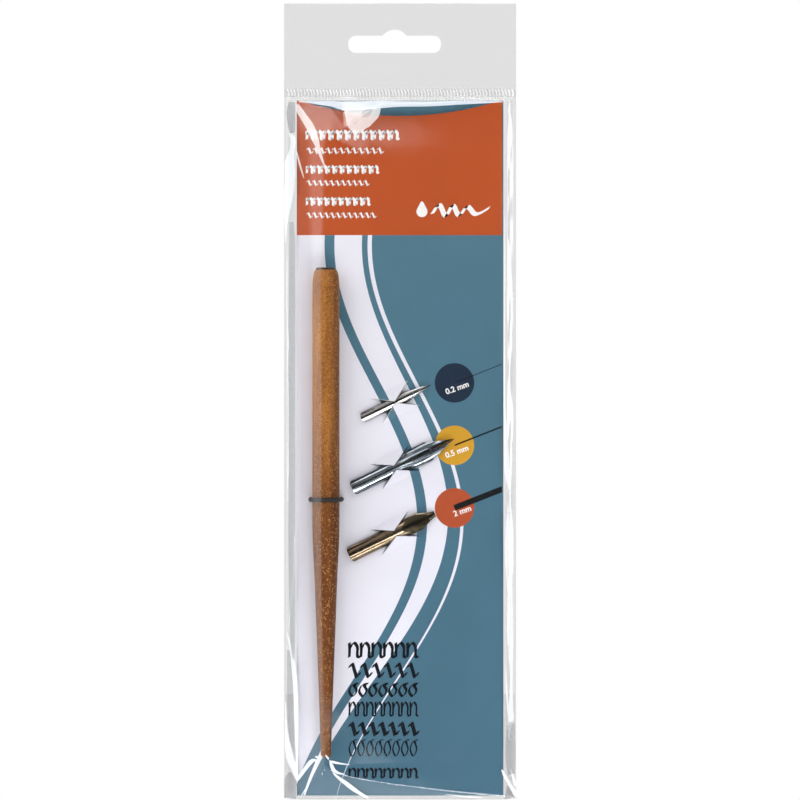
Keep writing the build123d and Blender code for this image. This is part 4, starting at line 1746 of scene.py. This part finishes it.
@dataclass(frozen=True)
class ElasticLoop:
    """The elastic over the holder, with a barb crimped on each end behind the card."""

    z: float = -156.8
    loop_radius: float = 5.36
    cord_radius: float = 0.7
    end_y: float = -1.4
    sides: int = 20
    steps: int = 40

    def build(self) -> None:
        """Extrude the cord up from one barb, spin it over the holder and bring it down."""
        mesh = bmesh.new()
        x, y = HOLDER_AXIS
        made = bmesh.ops.create_circle(mesh, segments=self.sides, radius=self.cord_radius)["verts"]
        bmesh.ops.transform(mesh, matrix=Matrix.Rotation(math.pi / 2, 4, "X"), verts=made)
        bmesh.ops.translate(mesh, vec=(x - self.loop_radius, self.end_y, self.z), verts=made)
        rim = list({edge for vert in made for edge in vert.link_edges})
        rim = self.run(mesh, rim, y - self.end_y)
        spun = bmesh.ops.spin(
            mesh, geom=rim + list({v for e in rim for v in e.verts}), angle=math.pi,
            steps=self.steps, axis=(0, 0, 1), cent=(x, y, 0),
        )
        rim = [item for item in spun["geom_last"] if isinstance(item, bmesh.types.BMEdge)]
        self.run(mesh, rim, self.end_y - y)
        bmesh.ops.holes_fill(mesh, edges=[e for e in mesh.edges if e.is_boundary], sides=0)
        bmesh.ops.recalc_face_normals(mesh, faces=mesh.faces)
        braid = BraidedElastic().make()
        piece = make_piece(mesh, "elastic_loop", Body.PACK, braid, "elastic", 50.0)
        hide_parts("elastic_cord")
        barb = PressedSteel("barb_nickel_plate", "#b9b7b2", "#8d8a84", 0.3, 0.4, tilt=90.0)
        dress("elastic_barbs", barb.make())

    def run(self, mesh: Mesh, rim: list, reach: float, steps: int = 6) -> list:
        """Extrude a rim of edges along Y in even steps and return the last rim.

        Args:
            mesh: bmesh of the loop.
            rim: edges to start from.
            reach: distance along Y.
            steps: how many parts to make.

        Returns:
            The last rim's edges.
        """
        for _ in range(steps):
            grown = bmesh.ops.extrude_edge_only(mesh, edges=rim)["geom"]
            verts = [item for item in grown if isinstance(item, bmesh.types.BMVert)]
            edges = [item for item in grown if isinstance(item, bmesh.types.BMEdge)]
            rim = [edge for edge in edges if all(v in verts for v in edge.verts)]
            bmesh.ops.translate(mesh, vec=(0, reach / steps, 0), verts=verts)
        return rim


# ---- the nibs ------------------------------------------------------------------------


@dataclass(frozen=True)
class RolledNib:
    """A pen nib: spring steel rolled to a shank, swelling to a body and drawn to a point.

    Distances run from the crossing of the card's slits, forward to the point. rows hold
    (along, half width seen from above, roll radius, crown height).
    """

    name: str
    node: str
    body: Body
    finish: PressedSteel
    slot: str
    spot: Point2
    rows: list[tuple[float, float, float, float]]
    sheet: float = 0.25
    vent: Optional[Point2] = None          # (along, radius)
    split: float = 0.06
    tilt: float = 26.0
    floor: float = 0.06
    lift: float = 0.0
    across: int = 14
    nearest: float = 0.02                  # stations are no closer together than this

    def gap(self, u: float) -> float:
        """Half width of the split and of its vent hole at a distance along.

        Args:
            u: distance along the nib.

        Returns:
            Half width in mm.
        """
        if self.vent is None:
            return 0.0
        at, radius = self.vent
        if u < at - radius:
            return 0.0
        hole = math.sqrt(max(0.0, radius**2 - (u - at) ** 2)) if u < at + radius else 0.0
        return max(hole, self.split * ease((u - at) / radius))

    def stations(self) -> list[float]:
        """Distances along the nib, closer together at the vent and the ends.

        Returns:
            The distances, in order.
        """
        start, end = self.rows[0][0], self.rows[-1][0]
        found = set(spread(start, end, 0.45)) | {row[0] for row in self.rows}
        found |= {start + 0.12 * i for i in range(1, 12)}
        if self.vent:
            at, radius = self.vent
            found |= {at - radius * math.cos(math.pi * i / 10) for i in range(11)}
        ordered = sorted(found)
        pairs = zip(ordered, ordered[1:])
        return [ordered[0], *(u for last, u in pairs if u - last > self.nearest or u == end)]

    def point(self, u: float, v: float) -> Point3:
        """A point of the outer face: v runs from -1 at one edge to +1 at the other.

        Args:
            u: distance along the nib.
            v: share of the way from its middle to an edge.

        Returns:
            The point, placed on the card.
        """
        half, radius, crown = (
            smooth_rows([(row[0], row[k]) for row in self.rows], u) + (self.lift if k > 1 else 0.0)
            for k in (1, 2, 3)
        )
        lowest = max(-1.0, min(1.0, (self.floor + radius - crown) / radius))
        widest = min(math.asin(half / radius) if half < radius else math.pi, math.acos(lowest))
        inner = math.asin(min(1.0, self.gap(u) / radius))
        turn = math.copysign(mix(inner, widest, abs(v)), v)
        side, out = radius * math.sin(turn), crown - radius + radius * math.cos(turn)
        c, s = facing(self.tilt)
        return (self.spot[0] + u * c - side * s, CARD_FRONT - out, self.spot[1] + u * s + side * c)

    def build(self) -> None:
        """Bend both halves, join them behind the vent and give the sheet its wall."""
        mesh = bmesh.new()
        stations = self.stations()
        for side in (1, -1):
            columns = [1e-6 * side, *(side * i / self.across for i in range(1, self.across + 1))]
            half = sheet_grid(columns, stations, lambda v, u: self.point(u, v))
            scratch = bpy.data.meshes.new("half_nib")
            half.to_mesh(scratch)
            half.free()
            mesh.from_mesh(scratch)
            bpy.data.meshes.remove(scratch)
        bmesh.ops.remove_doubles(mesh, verts=mesh.verts, dist=4 * MERGE)
        face_toward(mesh)
        thicken(mesh, self.sheet)
        piece = make_piece(mesh, self.name, self.body, self.finish.make(), self.slot, 38.0)
        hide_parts(self.node)


def make_nibs() -> list[RolledNib]:
    """The three nibs, and the ink reservoir clipped over the broad one.

    Returns:
        The four rolled sheets.
    """
    small = RolledNib(
        "fine_nib", "small_nib", Body.SMALL,
        PressedSteel("bright_nickel_nib_steel", "#dddcda", "#4a4846", 0.14, 0.15,
                     reflection_band_share=0.85, reflection_band_mm=0.75),
        "bright_steel", (0.2, -123.4),
        [
            (-13, 0.65, 1.85, 1.85), (-12.35, 1.6, 1.85, 1.85), (-11.7, 1.95, 1.85, 1.85),
            (-4, 1.95, 1.85, 1.85), (0, 1.95, 1.85, 1.85), (4.5, 1.95, 1.85, 1.85),
            (5.5, 1.8, 1.85, 1.85), (6.5, 1.21, 1.82, 1.75), (10, 0.82, 1.7, 1.4),
            (12.9, 0.24, 1.55, 1.02), (13.7, 0.13, 1.48, 0.95),
        ],
        sheet=0.18, vent=(6.9, 0.35),
    )
    pointed = RolledNib(
        "pointed_nib_sheet", "pointed_nib", Body.POINTED,
        PressedSteel("blued_nib_steel", "#c0cad2", "#1b232b", 0.14, 0.25, reflection_band_share=0.9),
        "blued_steel", (0.2, -145.9),
        [
            (-16.5, 1.47, 2.67, 2.67), (-16.07, 2.3, 2.67, 2.67), (-15.2, 2.77, 2.67, 2.67),
            (-6, 2.77, 2.67, 2.67), (3, 2.77, 2.67, 2.67), (4.2, 2.95, 3.15, 2.67),
            (5.4, 3.27, 3.9, 2.67), (6.5, 3.45, 4.3, 2.67), (9.6, 3.45, 4.3, 2.5),
            (12.8, 3.45, 4.3, 2.22), (13.3, 2.95, 4.26, 2.15), (16.2, 2.17, 4.1, 1.83),
            (19.1, 1.1, 3.9, 1.5), (22.5, 0.14, 3.65, 1.17),
        ],
        vent=(13.7, 0.45),
    )
    broad = RolledNib(
        "broad_nib_sheet", "broad_nib", Body.BROAD,
        PressedSteel("bronzed_nib_steel", "#bda88c", "#33281b", 0.16, 0.3, reflection_band_share=0.88),
        "bronzed_steel", (0.2, -168.4),
        [
            (-17.6, 1.6, 2.8, 2.8), (-17.17, 2.4, 2.8, 2.8), (-16.3, 2.9, 2.8, 2.8),
            (-6, 2.9, 2.8, 2.8), (3, 2.9, 2.8, 2.8), (4.2, 2.93, 3.1, 2.8),
            (5.4, 3.05, 3.6, 2.8), (6.5, 3.1, 3.9, 2.8), (8, 3.1, 3.9, 2.55),
            (9.4, 3.1, 3.9, 2.29), (9.9, 2.6, 3.87, 2.22), (11.4, 2.1, 3.7, 1.9),
            (13.2, 1.43, 3.5, 1.5), (15.2, 1, 3.32, 1.1),
        ],
    )
    reservoir = RolledNib(
        "ink_reservoir", "broad_nib_reservoir", Body.BROAD,
        PressedSteel("reservoir_dark_steel", "#352f23", "#231f18", 0.3, 0.6),
        "dark_steel", (0.2, -168.4),
        [
            (2.6, 0.5, 2.67, 2.8), (3.8, 1.48, 2.95, 2.8), (5.2, 2.38, 3.55, 2.8),
            (6.75, 2.7, 3.9, 2.78), (8.75, 2.7, 3.9, 2.45), (11.6, 1.5, 3.7, 1.9),
            (13.2, 0.55, 3.5, 1.5), (14.2, 0.44, 3.4, 1.3),
        ],
        sheet=0.2, lift=0.25,
    )
    return [small, pointed, broad, reservoir]


# ---- the studio ----------------------------------------------------------------------


@dataclass(frozen=True)
class Softbox:
    """A rectangular studio light that looks at the middle of the card; in metres."""

    name: str
    place: Point3
    size: Point2
    power: float
    target: Point3 = (0.0, -0.003, -0.13)

    def build(self) -> None:
        """Hang the light and aim it."""
        lamp = bpy.data.lights.new(self.name, "AREA")
        lamp.shape = "RECTANGLE"
        lamp.size, lamp.size_y = self.size
        lamp.energy = self.power
        holder = link_new(self.name, lamp)
        holder.location = self.place
        aim = Vector(self.target) - Vector(self.place)
        holder.rotation_euler = aim.to_track_quat("-Z", "Y").to_euler()


@dataclass(frozen=True)
class Studio:
    """Camera, soft lights, pale floor and a white surround; camera and lights in metres."""

    lens: float = 120.0
    sensor: float = 36.0
    camera_place: Point3 = (0.00186, -0.92, -0.1227)
    floor_z: float = -600.0
    floor_size: float = 3200.0
    # how bright the room is along Y (from behind the camera to behind the pack), and
    # its share along Z and X, each as (direction, level); dark flags stand at the rear
    # sides, so that the film's steep sides go grey
    room: tuple[Point2, ...] = (
        (-1, 0.03), (-0.93, 0.1), (-0.84, 1.1), (-0.5, 1.35), (-0.2, 1.25), (0, 0.9), (0.15, 0.45),
        (0.35, 0.1), (0.65, 0.1), (0.8, 0.8), (1, 1),
    )
    heights: tuple[Point2, ...] = (
        (-1, 0.15), (-0.6, 0.3), (-0.34, 1), (-0.2, 0.65), (0.2, 0.65), (0.38, 1.55), (1, 1.55),
    )
    sides: tuple[Point2, ...] = ((-1.0, 1.15), (-0.3, 1.25), (0.3, 0.9), (1.0, 0.35))
    softboxes: tuple[Softbox, ...] = (
        Softbox("left_softbox", (-1.2, -0.85, 0.0), (1.2, 1.8), 2.5),
        Softbox("right_softbox", (1.25, -0.8, 0.0), (1.2, 1.8), 0.8),
        Softbox("low_front_strip", (0.17, -0.62, -0.5), (0.4, 0.1), 1.0),
        Softbox("table_strip", (0.19, -0.25, -0.53), (0.3, 0.08), 0.9),
        Softbox("overhead_softbox", (0.0, -0.12, 1.0), (0.6, 0.3), 1.2),
        Softbox("left_rear_strip", (-1.0, 0.85, -0.1), (0.1, 1.6), 1.6),
        Softbox("right_rear_strip", (1.15, 0.7, -0.1), (0.1, 1.6), 1.5),
    )

    def build_camera(self) -> None:
        """Square-on camera at the card's middle height."""
        data = bpy.data.cameras.new("front_camera")
        data.lens = self.lens
        data.sensor_width = self.sensor
        camera = link_new("front_camera", data)
        camera.location = self.camera_place
        camera.rotation_euler = (math.pi / 2, 0.0, 0.0)
        bpy.context.scene.camera = camera

    def build_floor(self) -> None:
        """The pale board well below the hanging pack."""
        mesh = bmesh.new()
        bmesh.ops.create_grid(mesh, x_segments=8, y_segments=8, size=self.floor_size / 2)
        bmesh.ops.translate(mesh, vec=(0, 0, self.floor_z), verts=mesh.verts)
        floor = link_new("floor", to_data(mesh, "floor", StudioFloor().make()))

    def build_world(self) -> None:
        """White to the camera; a soft grey room, darker behind the camera, to everything else."""
        bpy.context.scene.world = bpy.data.worlds.new("studio")
        g = Graph(bpy.context.scene.world, "OutputWorld")
        split = g.add("SeparateXYZ", in_0=g.add("TexCoord").outputs["Generated"])
        room = 1.0
        for axis, table in (("Y", self.room), ("Z", self.heights), ("X", self.sides)):
            along = g.math("MULTIPLY_ADD", split.outputs[axis], 0.5, 0.5)
            room = g.times(room, g.ramp(along, *((at * 0.5 + 0.5, level) for at, level in table)))
        to_camera = g.add("LightPath").outputs["Is Camera Ray"]
        strength = g.add("Mix", {"data_type": "FLOAT"}, in_0=to_camera, in_2=room, in_3=1.0)
        g.finish(g.add("Background", Color=(1.0, 1.0, 1.0, 1.0), Strength=strength))

    def build(self) -> None:
        """Set up the camera, the light and the surround."""
        self.build_camera()
        self.build_floor()
        self.build_world()
        for softbox in self.softboxes:
            softbox.build()
        bpy.context.scene.view_settings.view_transform = "Standard"


def main() -> None:
    """Build the studio and then the set, from the bag inwards."""
    logging.basicConfig(level=logging.INFO, format="%(name)s: %(message)s")
    for part in (Studio(), HangingBag(), DisplayCard(), Penholder(), ElasticLoop(), *make_nibs()):
        part.build()


if __name__ == "__main__":
    main()
